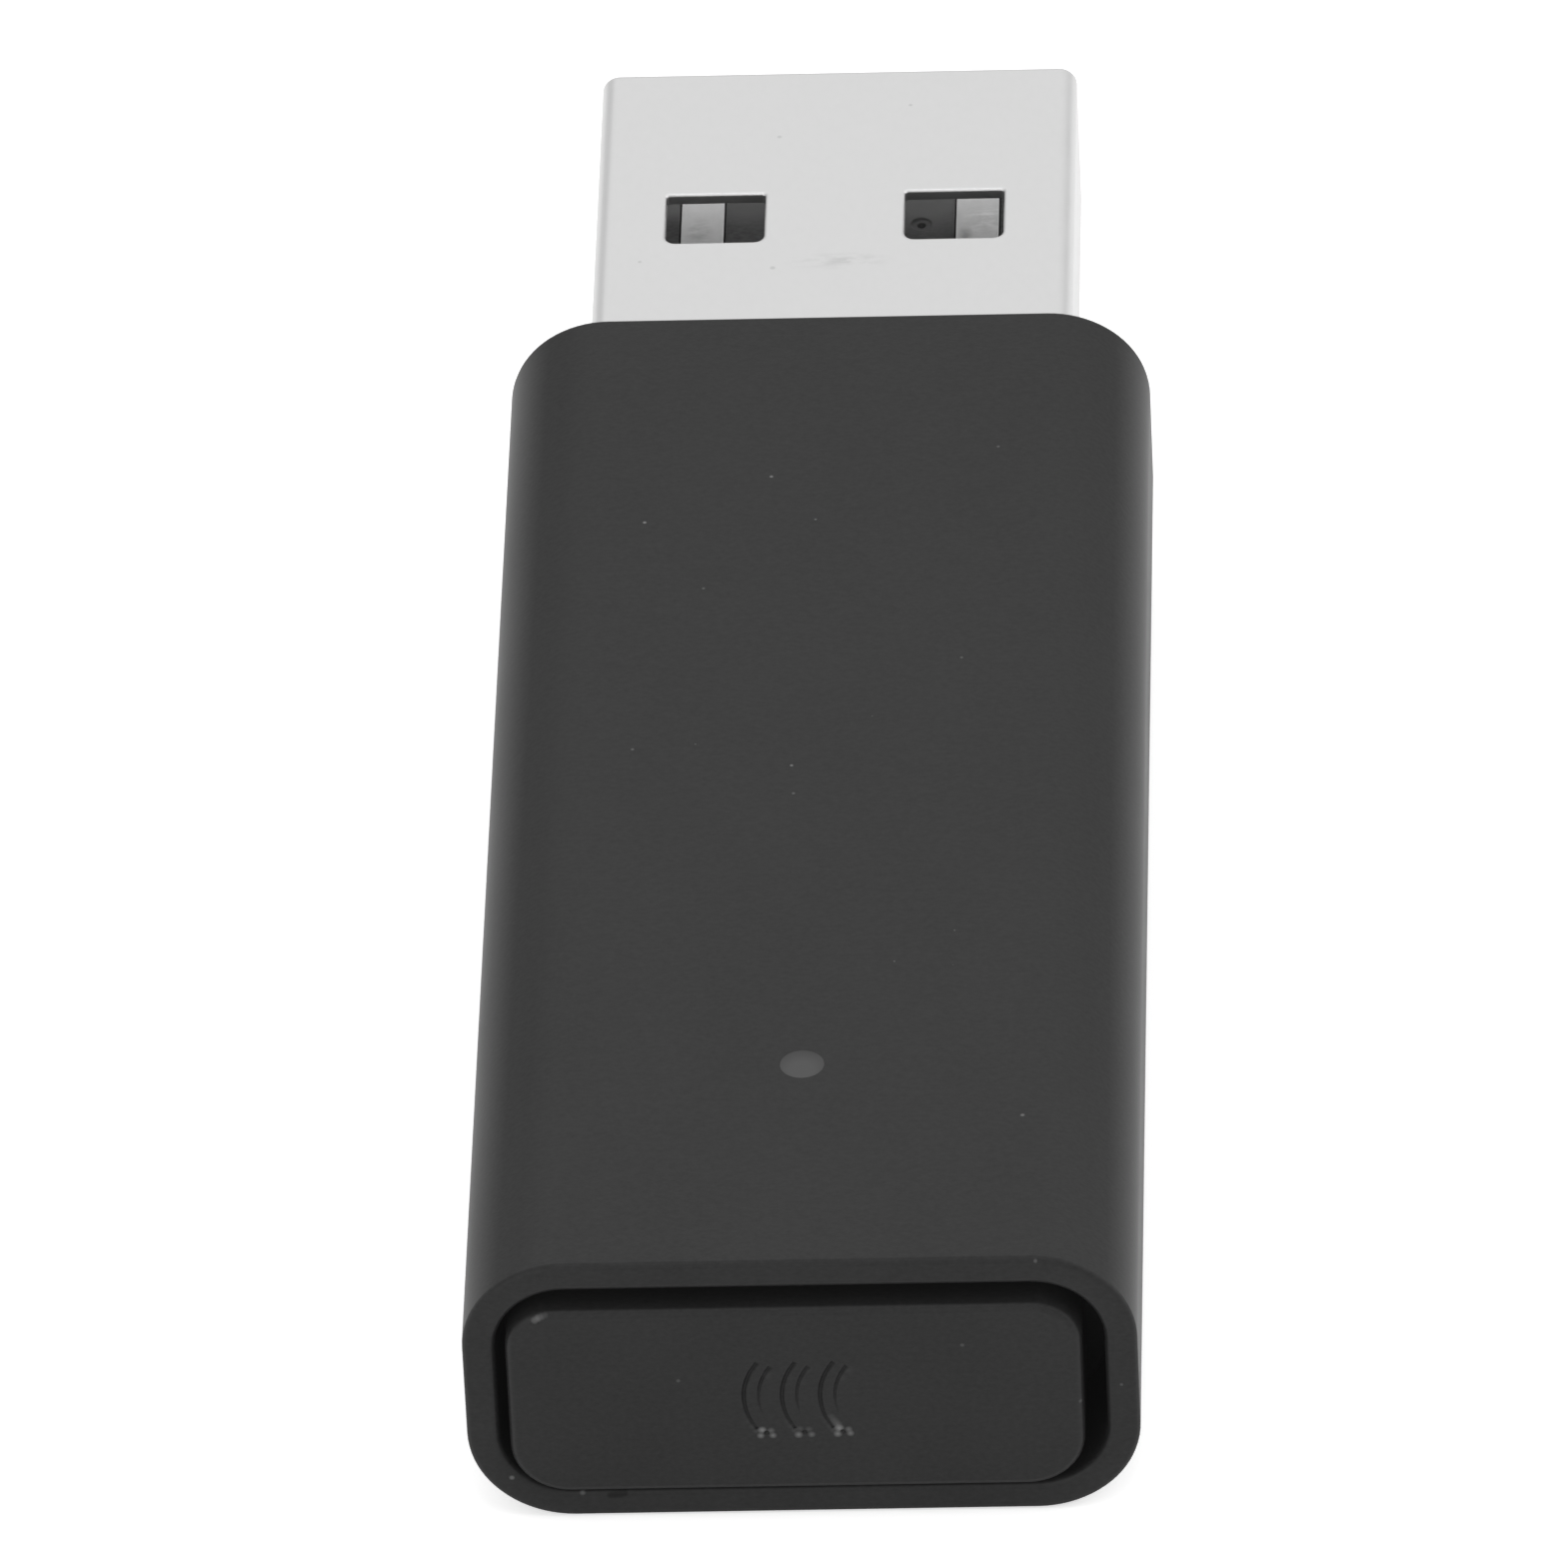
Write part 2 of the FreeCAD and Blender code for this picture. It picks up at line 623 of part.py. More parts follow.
    def seam_outline(self):
        """The slit under the plug: straight, with one dovetail that locks the two edges."""
        s = self.s
        gap = s.seam_gap
        middle = -(s.window_front + s.window_length / 2)
        depth = s.plug_width / 2 - s.window_inset - s.window_width / 2 - s.seam_land
        head = s.seam_head - gap * 1.5
        neck = s.seam_neck - gap
        over = gap
        beyond = -(self.shell_back + gap)
        return [
            (gap / 2, over),
            (gap / 2, middle + s.seam_neck),
            (depth, middle + s.seam_head),
            (depth, middle - s.seam_head),
            (gap / 2, middle - s.seam_neck),
            (gap / 2, beyond),
            (-gap / 2, beyond),
            (-gap / 2, middle - neck),
            (depth - gap, middle - head),
            (depth - gap, middle + head),
            (-gap / 2, middle + neck),
            (-gap / 2, over),
        ]

    def contacts(self):
        """The four contacts' names, centres and ends, measured from the plug's tip."""
        s = self.s
        outer = s.plug_width / 2 - s.contact_inset
        data_end = s.contact_lead + s.contact_lag
        return (
            ("contact_power", -outer, s.contact_lead),
            ("contact_data_minus", -s.contact_inner, data_end),
            ("contact_data_plus", s.contact_inner, data_end),
            ("contact_ground", outer, s.contact_lead),
        )

    def plug_insulator(self):
        """The moulded block in the shell and its tongue, grooved for the four contacts."""
        s = self.s
        piece = self.piece("plug_insulator", self.tip)
        wide = s.plug_width / 2 - s.plug_sheet - s.mould_slip
        tall = s.plug_height / 2 - s.plug_sheet - s.mould_slip
        block = piece.sketch("y", -self.shell_back)
        rounded(block, -wide, wide, -tall, tall, s.plug_corner - s.plug_sheet)
        piece.pad(block, "y", self.shell_back - s.socket_depth)
        tongue = piece.sketch("y", -self.shell_back)
        rectangle(tongue, -wide, wide, s.plug_corner - tall, -s.tongue_drop)
        piece.pad(tongue, "y", self.shell_back - s.tongue_setback)
        keel = piece.sketch("y", -self.shell_back)
        narrow = wide - s.plug_corner
        rectangle(keel, -narrow, narrow, -tall, -s.tongue_drop)
        piece.pad(keel, "y", self.shell_back - s.tongue_setback)
        piece.chamfer(s.tongue_lead, lies_at("Y", -s.tongue_setback))
        grooves = piece.sketch("z", -s.contact_sheet)
        for _, centre, lead in self.contacts():
            left = centre - s.contact_width / 2 - s.contact_slip
            right = centre + s.contact_width / 2 + s.contact_slip
            rectangle(grooves, left, right, -(self.shell_back + s.contact_slip), s.contact_slip - lead)
        piece.pocket(grooves, "z", s.contact_sheet + s.contact_slip)
        for radius, depth in ((s.mark_dish, s.dish_depth), (s.mark_core, s.core_depth)):
            mark = piece.sketch("z", -(s.tongue_drop + depth))
            circle(mark, s.mark_across, -s.mark_setback, radius)
            piece.pocket(mark, "z", depth)

    def contact(self, label, centre, lead):
        """A stamped strip that runs along the tongue and steps down to a foot on the board."""
        s = self.s
        piece = self.piece(label, (self.tip[0] + centre, self.tip[1], self.tip[2]))
        exit_point = -(self.shell_back + s.board_play)
        step = exit_point - s.contact_bend
        foot = step - s.contact_foot
        profile = piece.sketch("x", -s.contact_width / 2)
        polygon(
            profile,
            [
                (-lead, ZERO),
                (exit_point, ZERO),
                (step, s.contact_sheet - s.board_drop),
                (foot, s.contact_sheet - s.board_drop),
                (foot, -s.board_drop),
                (step, -s.board_drop),
                (exit_point, -s.contact_sheet),
                (-lead, -s.contact_sheet),
            ],
        )
        piece.pad(profile, "x", s.contact_width)

    def circuit_board(self):
        """The board in its rails, notched at one end for the plug's shell."""
        s = self.s
        piece = self.piece("circuit_board", self.board_under)
        notch_half = s.plug_width / 2 + s.plug_slip
        sketch = piece.sketch("z", 0)
        polygon(
            sketch,
            [
                (-self.board_half, ZERO),
                (self.board_half, ZERO),
                (self.board_half, self.board_end),
                (notch_half, self.board_end),
                (notch_half, self.notch),
                (-notch_half, self.notch),
                (-notch_half, self.board_end),
                (-self.board_half, self.board_end),
            ],
        )
        piece.pad(sketch, "z", s.board_thick)

    def shield_frame(self):
        """The soldered fence round the radio, with a lip along its top."""
        s = self.s
        piece = self.piece("shield_frame", self.board_top)
        outside = piece.sketch("z", 0)
        rectangle(outside, -self.shield_half, self.shield_half, s.shield_start, self.shield_end)
        piece.pad(outside, "z", s.shield_height)
        inside = piece.sketch("z", 0)
        self.inset(inside, s.shield_sheet)
        piece.pocket(inside, "z", s.shield_height - s.shield_sheet)
        mouth = piece.sketch("z", 0)
        self.inset(mouth, s.shield_lip)
        piece.pocket(mouth, "z", s.shield_height)

    def inset(self, sketch, margin):
        """A rectangle inside the shield's outline by a margin, outside it if negative."""
        rectangle(
            sketch,
            margin - self.shield_half,
            self.shield_half - margin,
            self.s.shield_start + margin,
            self.shield_end - margin,
        )

    def shield_cover(self):
        """The lid that clips over the fence."""
        s = self.s
        piece = self.piece("shield_cover", self.board_top)
        low = s.shield_height - s.cover_skirt
        outside = piece.sketch("z", low)
        self.inset(outside, -(s.cover_sheet + s.cover_slip))
        piece.pad(outside, "z", s.cover_skirt + s.cover_sheet)
        inside = piece.sketch("z", low)
        self.inset(inside, -s.cover_slip)
        piece.pocket(inside, "z", s.cover_skirt)

    def shielded_chips(self):
        """The radio, its memory and its crystal, side by side under the shield."""
        s = self.s
        middle = (s.shield_start + self.shield_end) / 2
        wall = self.shield_half - s.shield_sheet - s.chip_gap
        self.block(
            "radio_chip", self.board_top, (ZERO, middle), (s.radio_side, s.radio_side), s.radio_height
        )
        self.block(
            "flash_memory",
            self.board_top,
            (s.memory_width / 2 - wall, middle),
            (s.memory_width, s.memory_length),
            s.memory_height,
        )
        self.block(
            "crystal_can",
            self.board_top,
            (wall - s.crystal_width / 2, middle),
            (s.crystal_width, s.crystal_length),
            s.crystal_height,
        )

    def power_parts(self):
        """The regulator, the inductor and the surge protector, between shield and plug."""
        s = self.s
        row = self.notch - s.power_setback
        self.block(
            "voltage_regulator",
            self.board_top,
            (-s.power_across, row),
            (s.regulator_side, s.regulator_side),
            s.regulator_height,
        )
        self.block(
            "power_inductor",
            self.board_top,
            (s.power_across, row),
            (s.inductor_width, s.inductor_length),
            s.inductor_height,
        )
        self.block(
            "surge_protector",
            self.board_top,
            (ZERO, row),
            (s.surge_side, s.surge_side),
            s.surge_height,
        )

    def small_parts(self, label, count, row, height):
        """A row of like chip parts across the board, as one node."""
        s = self.s
        piece = self.piece(label, self.board_top)
        sketch = piece.sketch("z", 0)
        for i in range(count):
            centre = s.small_pitch * (i - (count - 1) / 2)
            left = centre - s.small_width / 2
            low = row - s.small_length / 2
            rectangle(sketch, left, left + s.small_width, low, low + s.small_length)
        piece.pad(sketch, "z", height)

    def antenna(self, label, side):
        """A stamped strip that stands on a feed leg and a ground leg."""
        s = self.s
        centre = (self.board_half - s.antenna_inset) * side
        place = (centre, self.board_top[1], self.board_top[2])
        piece = self.piece(label, place)
        profile = piece.sketch("x", -s.antenna_sheet / 2)
        far = s.antenna_start + s.antenna_length
        under = s.antenna_height - s.antenna_strip
        feed = far - s.antenna_feed
        polygon(
            profile,
            [
                (s.antenna_start, under),
                (feed - s.antenna_strip, under),
                (feed - s.antenna_strip, ZERO),
                (feed, ZERO),
                (feed, under),
                (far - s.antenna_strip, under),
                (far - s.antenna_strip, ZERO),
                (far, ZERO),
                (far, s.antenna_height),
                (s.antenna_start, s.antenna_height),
            ],
        )
        piece.pad(profile, "x", s.antenna_sheet)

    def status_lamp(self):
        """The lamp under the light pipe."""
        s = self.s
        centre = (ZERO, s.lamp_station - self.board_start)
        self.block(
            "status_led", self.board_top, centre, (s.lamp_width, s.lamp_length), s.lamp_height
        )

    def switch(self):
        """The side-push switch under the board: a moulded body, its plunger and its cover."""
        s = self.s
        half = s.switch_width / 2
        front = s.switch_setback
        back = front + s.switch_length
        chamber = front + s.switch_mouth
        seat = chamber + s.plunger_slip
        rear = seat + s.plunger_flange_thick + s.travel + s.chamber_room
        open_height = s.switch_height - s.switch_floor
        body = self.piece("switch_body", self.board_under)
        sketch = body.sketch("z", -s.switch_height)
        rectangle(sketch, -half, half, front, back)
        body.pad(sketch, "z", s.switch_height)
        mouth = s.plunger_width / 2 + s.plunger_slip
        room = s.chamber_width / 2
        hollow = body.sketch("z", -s.switch_height)
        polygon(
            hollow,
            [
                (-mouth, front - s.switch_mouth),
                (mouth, front - s.switch_mouth),
                (mouth, chamber),
                (room, chamber),
                (room, rear),
                (-room, rear),
                (-room, chamber),
                (-mouth, chamber),
            ],
        )
        body.pocket(hollow, "z", open_height)

        plunger = self.piece("switch_plunger", self.board_under)
        stem = s.plunger_width / 2
        flange = s.plunger_flange / 2
        sketch = plunger.sketch("z", self.plunger_low)
        polygon(
            sketch,
            [
                (-stem, front - s.plunger_reach),
                (stem, front - s.plunger_reach),
                (stem, seat),
                (flange, seat),
                (flange, seat + s.plunger_flange_thick),
                (-flange, seat + s.plunger_flange_thick),
                (-flange, seat),
                (-stem, seat),
            ],
        )
        plunger.pad(sketch, "z", s.plunger_height)

        cover = self.piece("switch_cover", self.board_under)
        outer = half + s.switch_sheet
        sketch = cover.sketch("y", front)
        polygon(
            sketch,
            [
                (-outer, -(s.switch_height + s.switch_sheet)),
                (outer, -(s.switch_height + s.switch_sheet)),
                (outer, ZERO),
                (half, ZERO),
                (half, -s.switch_height),
                (-half, -s.switch_height),
                (-half, ZERO),
                (-outer, ZERO),
            ],
        )
        cover.pad(sketch, "y", s.switch_length)

    def build(self):
        """Make every sub-part."""
        s = self.s
        self.housing_sleeve()
        self.pairing_button()
        self.end_frame()
        self.light_pipe()
        self.plug_shell()
        self.plug_insulator()
        for label, centre, lead in self.contacts():
            self.contact(label, centre, lead)
        self.circuit_board()
        self.shield_frame()
        self.shield_cover()
        self.shielded_chips()
        self.power_parts()
        capacitor_row = self.notch - s.capacitor_row
        self.small_parts("chip_capacitors", CAPACITORS, capacitor_row, s.small_height)
        self.small_parts("chip_resistors", RESISTORS, s.resistor_row, s.resistor_height)
        self.antenna("antenna_left", -1)
        self.antenna("antenna_right", 1)
        self.status_lamp()
        self.switch()


def check(document):
    """Stop if an object failed, a shape is missing or not valid, or a cut removed nothing."""
    for thing in document.Objects:
        if "Invalid" in thing.State or "Error" in thing.State:
            raise RuntimeError(f"{thing.Name} failed: {thing.State}")
    for body in document.findObjects("PartDesign::Body"):
        if body.Shape.isNull() or not body.Shape.isValid():
            raise RuntimeError(f"{body.Label} has no valid shape")
        volume = 0.0
        for feature in body.Group:
            if feature.TypeId.startswith("Sketcher"):
                continue
            if feature.TypeId.endswith("Pocket") and feature.Shape.Volume > volume - NEAR:
                raise RuntimeError(f"{feature.Name} cuts nothing")
            volume = feature.Shape.Volume


def main():
    """Build the adapter, check it and write one file for each sub-part."""
    document = FreeCAD.newDocument("adapter")
    adapter = Adapter(document)
    adapter.build()
    document.recompute()
    check(document)
    os.makedirs("parts", exist_ok=True)
    for body in document.findObjects("PartDesign::Body"):
        body.Shape.exportStep(f"parts/{body.Label}.step")


main()
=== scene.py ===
"""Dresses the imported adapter: its sleeve, button, plug and light window, in a plain studio."""

import json
import logging
import math
from dataclasses import dataclass, field
from enum import Enum

import bmesh
import bpy
from mathutils import Matrix, Vector


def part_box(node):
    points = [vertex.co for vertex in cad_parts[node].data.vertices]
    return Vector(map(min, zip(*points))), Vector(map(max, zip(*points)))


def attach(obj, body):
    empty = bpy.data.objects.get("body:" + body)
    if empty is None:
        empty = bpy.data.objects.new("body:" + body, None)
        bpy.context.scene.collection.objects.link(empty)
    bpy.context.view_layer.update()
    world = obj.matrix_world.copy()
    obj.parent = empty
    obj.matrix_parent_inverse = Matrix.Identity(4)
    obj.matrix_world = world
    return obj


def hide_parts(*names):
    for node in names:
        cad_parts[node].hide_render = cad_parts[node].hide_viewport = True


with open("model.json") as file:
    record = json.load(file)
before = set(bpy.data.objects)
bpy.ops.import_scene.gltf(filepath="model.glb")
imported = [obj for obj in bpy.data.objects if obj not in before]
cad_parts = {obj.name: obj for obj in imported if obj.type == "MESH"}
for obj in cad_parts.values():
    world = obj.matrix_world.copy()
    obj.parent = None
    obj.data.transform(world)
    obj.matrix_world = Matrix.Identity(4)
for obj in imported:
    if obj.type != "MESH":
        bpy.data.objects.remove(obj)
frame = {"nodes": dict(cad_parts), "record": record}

LOG = logging.getLogger("adapter")
Socket = bpy.types.NodeSocket
Triple = tuple[float, float, float]
Colour = Socket | Triple
MM = 0.001
WHITE = (1.0, 1.0, 1.0, 1.0)
HOUSING = "housing"
BUTTON = "button"

# How near two points count as one, in a new mesh and in a packed one, and how flat two faces are merged.
SAME_POINT = 0.0001 * MM
SEAM_POINT = 0.0005 * MM
FLAT = math.radians(1)

# How far a mark fades out, as a share of its reach, and how much a finish's roughness varies.
MARK_FADE = 1.3
SHEEN_PLAY = 0.02

# Where the marked faces lie, in millimetres: the sleeve's top and rim, the button's and the plug's face.
TOP = 7.6
RIM = -25.25
FACE = -25.45
PLUG_TOP = 6.05


@dataclass(frozen=True)
class Mark:
    """A speck of dust, a nick, a small dark patch, or a painted highlight or lighter patch: its place
    and reach in millimetres, and how light it is.
    """

    x: float
    y: float
    z: float
    reach: float
    shade: float


@dataclass(frozen=True)
class Smudge:
    """A faint long smudge, or a painted lighter patch: its middle and half sides in millimetres, its
    shade and how it breaks up.
    """

    place: Triple
    sides: Triple
    shade: float
    core: float = 0.2
    clouds: Triple = (2.2, 5.0, 2.2)
    broken_from: float = 0.42
    broken_to: float = 0.62


SLEEVE_MARKS = (
    Mark(-6.45, 1.26, 7.55, 0.045, 0.27),
    Mark(-4.34, 4.15, TOP, 0.045, 0.16),
    Mark(-1.25, 5.96, TOP, 0.045, 0.14),
    Mark(-0.5, -5.86, TOP, 0.04, 0.14),
    Mark(5.29, -19.76, TOP, 0.05, 0.11),
    Mark(-0.12, 4.15, TOP, 0.03, 0.11),
    Mark(-0.43, -6.98, TOP, 0.04, 0.08),
    Mark(-4.39, -5.1, TOP, 0.04, 0.08),
    Mark(3.57, -1.62, TOP, 0.04, 0.07),
    Mark(-2.82, 1.39, TOP, 0.04, 0.07),
    Mark(4.35, 7.04, TOP, 0.04, 0.07),
    Mark(5.66, -25.2, 7.5, 0.05, 0.09),
    Mark(-6.99, RIM, 1.22, 0.06, 0.1),
    Mark(-5.33, -25.24, 0.72, 0.07, 0.09),
    Mark(7.58, RIM, 3.75, 0.04, 0.06),
    # Four dark marks that make a small dark patch on the rim just below the button.
    Mark(-4.66, RIM, 0.63, 0.09, 0.001),
    Mark(-4.55, RIM, 0.64, 0.1, 0.0005),
    Mark(-4.44, RIM, 0.65, 0.1, 0.0005),
    Mark(-4.33, RIM, 0.67, 0.09, 0.001),
)
# Painted highlights: four light blobs around each pit of the sign, where the pit's lip catches the
# light.
PIT_GLINTS = (
    Mark(-0.97, FACE, 2.71, 0.09, 0.16),
    Mark(-0.76, FACE, 2.69, 0.08, 0.08),
    Mark(-1.01, FACE, 2.54, 0.08, 0.13),
    Mark(-0.72, FACE, 2.54, 0.08, 0.12),
    Mark(-0.07, FACE, 2.73, 0.08, 0.045),
    Mark(0.14, FACE, 2.71, 0.08, 0.045),
    Mark(-0.11, FACE, 2.55, 0.09, 0.12),
    Mark(0.2, FACE, 2.55, 0.08, 0.09),
    Mark(0.86, FACE, 2.73, 0.1, 0.17),
    Mark(1.08, FACE, 2.69, 0.08, 0.09),
    Mark(0.82, FACE, 2.56, 0.09, 0.13),
    Mark(1.12, FACE, 2.57, 0.08, 0.11),
)
# Painted highlights along the lit flanks of the sign's grooves.
ARC_GLINTS = (
    Mark(-1.3, FACE, 2.98, 0.08, 0.021),
    Mark(-1.2, FACE, 2.82, 0.08, 0.026),
    Mark(-1.11, FACE, 2.68, 0.08, 0.035),
    Mark(-0.38, FACE, 2.95, 0.08, 0.021),
    Mark(-0.29, FACE, 2.81, 0.08, 0.026),
    Mark(-0.2, FACE, 2.68, 0.08, 0.035),
    Mark(0.54, FACE, 2.93, 0.08, 0.021),
    Mark(0.63, FACE, 2.79, 0.08, 0.026),
    Mark(0.72, FACE, 2.67, 0.08, 0.035),
    Mark(0.68, FACE, 3.07, 0.1, 0.035),
    Mark(0.75, FACE, 2.96, 0.1, 0.05),
    Mark(0.82, FACE, 2.85, 0.1, 0.07),
    Mark(-0.8, FACE, 4.36, 0.12, 0.022),
    Mark(0.16, FACE, 4.52, 0.12, 0.022),
    Mark(0.02, FACE, 4.14, 0.12, 0.02),
    Mark(1.14, FACE, 4.48, 0.12, 0.023),
    Mark(0.99, FACE, 4.24, 0.12, 0.022),
)
# The first four marks are a painted highlight along the button's rounded top-left edge; the other three
# are dust specks.
BUTTON_DUST_AND_PAINTED_HIGHLIGHT = (
    Mark(-6.22, -25.41, 6.13, 0.08, 0.07),
    Mark(-6.14, -25.4, 6.18, 0.08, 0.09),
    Mark(-6.05, -25.38, 6.21, 0.08, 0.06),
    Mark(-5.96, -25.37, 6.24, 0.07, 0.04),
    Mark(-2.9, FACE, 4.25, 0.05, 0.05),
    Mark(3.86, FACE, 5.19, 0.05, 0.05),
    Mark(6.6, -25.4, 3.4, 0.05, 0.06),
)
PLUG_SPOTS = (
    Mark(1.84, 23.84, PLUG_TOP, 0.05, 0.4),
    Mark(-1.47, 22.56, PLUG_TOP, 0.06, 0.41),
    Mark(-4.88, 17.26, PLUG_TOP, 0.05, 0.4),
    Mark(-1.52, 16.9, PLUG_TOP, 0.07, 0.4),
)
PLUG_SMUDGES = (Smudge((0.2, 17.15, PLUG_TOP), (1.5, 0.4, 1.0), 0.43),)
CONTACT_SMUDGES_AND_PAINTED_LIGHT = (
    # The first is a painted lighter patch on the right contact's far end, where light comes in through
    # the window; the other two are darker smudges.
    Smudge((3.72, 21.9, 3.9), (0.7, 0.8, 1.0), 0.68),
    Smudge((3.2, 21.2, 3.9), (0.22, 0.6, 1.0), 0.33),
    Smudge((-3.6, 21.6, 3.9), (0.4, 0.7, 1.0), 0.38),
)
# Painted light: large soft lighter patches on the tongue's far half, where more light comes in through
# the windows.
TONGUE_SHEEN = (
    Mark(-2.4, 23.0, 3.7, 1.0, 0.27),
    Mark(-4.2, 23.0, 3.7, 0.8, 0.36),
    Mark(2.2, 22.9, 3.7, 1.3, 0.32),
)


class Blend(Enum):
    """How one solid is joined to another."""

    ADD = "UNION"
    CUT = "DIFFERENCE"


class Sum(Enum):
    """What is done with two values of a material."""

    ADD = "ADD"
    TIMES = "MULTIPLY"
    ABOVE = "GREATER_THAN"


class Cross(Enum):
    """The axis that a flat outline lies across, as the turn that lays it there."""

    LENGTH = Matrix.Rotation(math.radians(90), 4, "X")
    HEIGHT = Matrix.Identity(4)


@dataclass(frozen=True)
class Box:
    """A node's lowest and highest corners."""

    low: Vector
    high: Vector

    @classmethod
    def of(cls, node: str) -> "Box":
        """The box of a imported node."""
        return cls(*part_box(node))

    @property
    def centre(self) -> Vector:
        """The middle of the box."""
        return (self.low + self.high) / 2

    @property
    def size(self) -> Vector:
        """The box's three sides."""
        return self.high - self.low


class Solid:
    """A mesh under construction, shaped with mesh operators."""

    def __init__(self) -> None:
        """Start with nothing."""
        self.bm = bmesh.new()

    def sheet(
        self,
        sides: tuple[float, float],
        radii: tuple[float, float],
        centre: Vector,
        cross: Cross,
        steps: int = 12,
    ) -> bmesh.types.BMFace:
        """Lay a flat rounded rectangle.

        Args:
            sides: Its width along X, and its height or length.
            radii: The radius of its two lower or nearer corners, then of the other two.
            centre: Its middle.
            cross: The axis that it lies across.
            steps: Segments in each corner.

        Returns:
            The face.
        """
        scale = Matrix.Diagonal((sides[0], sides[1], 1.0, 1.0))
        spot = Matrix.Translation(centre) @ cross.value @ scale
        made = bmesh.ops.create_grid(self.bm, x_segments=1, y_segments=1, size=0.5, matrix=spot)
        corners = sorted(made["verts"], key=lambda vert: vert.co.y + vert.co.z)
        for pair, radius in zip((corners[:2], corners[2:]), radii):
            made = bmesh.ops.bevel(
                self.bm,
                geom=pair,
                offset=radius,
                offset_type="OFFSET",
                segments=steps,
                profile=0.5,
                affect="VERTICES",
                material=-1,
            )
        return made["verts"][0].link_faces[0]

    def stretch(self, face: bmesh.types.BMFace, centre: Vector, factors: tuple[float, float]) -> None:
        """Stretch a level face about a centre.

        Args:
            face: The face.
            centre: The centre.
            factors: How many times as long it gets along X and along Y.
        """
        about = Matrix.Translation(-centre)
        bmesh.ops.scale(self.bm, vec=(*factors, 1.0), space=about, verts=list(face.verts))

    def draw(self, faces: list[bmesh.types.BMFace], along: Vector) -> list[bmesh.types.BMFace]:
        """Draw faces out along a vector.

        Args:
            faces: The faces.
            along: How far and which way they go.

        Returns:
            The faces, where they end.
        """
        edges = list({edge for face in faces for edge in face.edges})
        made = bmesh.ops.extrude_face_region(self.bm, geom=faces + edges)["geom"]
        moved = [part for part in made if isinstance(part, bmesh.types.BMVert)]
        bmesh.ops.translate(self.bm, verts=moved, vec=along)
        return [part for part in made if isinstance(part, bmesh.types.BMFace)]

    def inset(self, face: bmesh.types.BMFace, by: float) -> list[bmesh.types.BMFace]:
        """Set a face's outline in.

        Args:
            face: The face, which gets smaller.
            by: How far its outline moves in.

        Returns:
            The ring of faces around it.
        """
        made = bmesh.ops.inset_region(
            self.bm, faces=[face], thickness=by, use_even_offset=True, use_boundary=True
        )
        return made["faces"]

    def soften(self, loop: list[bmesh.types.BMEdge], radius: float, steps: int = 4) -> None:
        """Round a loop of edges.

        Args:
            loop: The edges.
            radius: The rounding's radius.
            steps: Segments in the rounding.
        """
        bmesh.ops.bevel(
            self.bm,
            geom=loop,
            offset=radius,
            offset_type="OFFSET",
            segments=steps,
            profile=0.5,
            affect="EDGES",
            material=-1,
        )

    def block(self, low: Vector, high: Vector) -> None:
        """Add a plain box between two corners."""
        place = Matrix.Translation((low + high) / 2) @ Matrix.Diagonal((*(high - low), 1.0))
        bmesh.ops.create_cube(self.bm, size=1.0, matrix=place)

    def prism(self, corners: list[Vector], rise: Vector) -> None:
        """Add a flat outline, given by its corners, drawn out along a vector."""
        self.draw([self.bm.faces.new([self.bm.verts.new(corner) for corner in corners])], rise)

    def finish(self, name: str) -> bpy.types.Object:
        """Turn the faces outward and make the mesh an object of the scene.

        Args:
            name: The object's name.

        Returns:
            The object.
        """
        bmesh.ops.remove_doubles(self.bm, verts=self.bm.verts, dist=SAME_POINT)
        bmesh.ops.recalc_face_normals(self.bm, faces=self.bm.faces)
        mesh = bpy.data.meshes.new(name)
        self.bm.to_mesh(mesh)
        self.bm.free()
        piece = bpy.data.objects.new(name, mesh)
        bpy.context.scene.collection.objects.link(piece)
        return piece


def join(piece: bpy.types.Object, tool: bpy.types.Object, blend: Blend) -> None:
    """Add a tool's solid to a piece, or cut it away, and discard the tool.

    Args:
        piece: The piece that stays.
        tool: The solid that is used up.
        blend: Whether it is added or cut away.
    """
    boolean = piece.modifiers.new("join", "BOOLEAN")
    boolean.object = tool
    boolean.operation = blend.value
    boolean.solver = "EXACT"
    boolean.use_self = True
    bpy.context.view_layer.update()
    graph = bpy.context.evaluated_depsgraph_get()
    mesh = bpy.data.meshes.new_from_object(piece.evaluated_get(graph))
    piece.modifiers.clear()
    old = piece.data
    piece.data = mesh
    bpy.data.meshes.remove(old)
    bpy.data.meshes.remove(tool.data)


def copy_of(node: str, name: str) -> bpy.types.Object:
    """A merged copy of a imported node's mesh, with its flat faces whole again.

    Args:
        node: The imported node.
        name: The new piece's name.

    Returns:
        The new piece.
    """
    solid = Solid()
    solid.bm.from_mesh(frame["nodes"][node].data)
    bmesh.ops.remove_doubles(solid.bm, verts=solid.bm.verts, dist=SEAM_POINT)
    bmesh.ops.dissolve_limit(
        solid.bm,
        angle_limit=FLAT,
        use_dissolve_boundaries=False,
        verts=solid.bm.verts,
        edges=solid.bm.edges,
        delimit=set(),
    )
    return solid.finish(name)


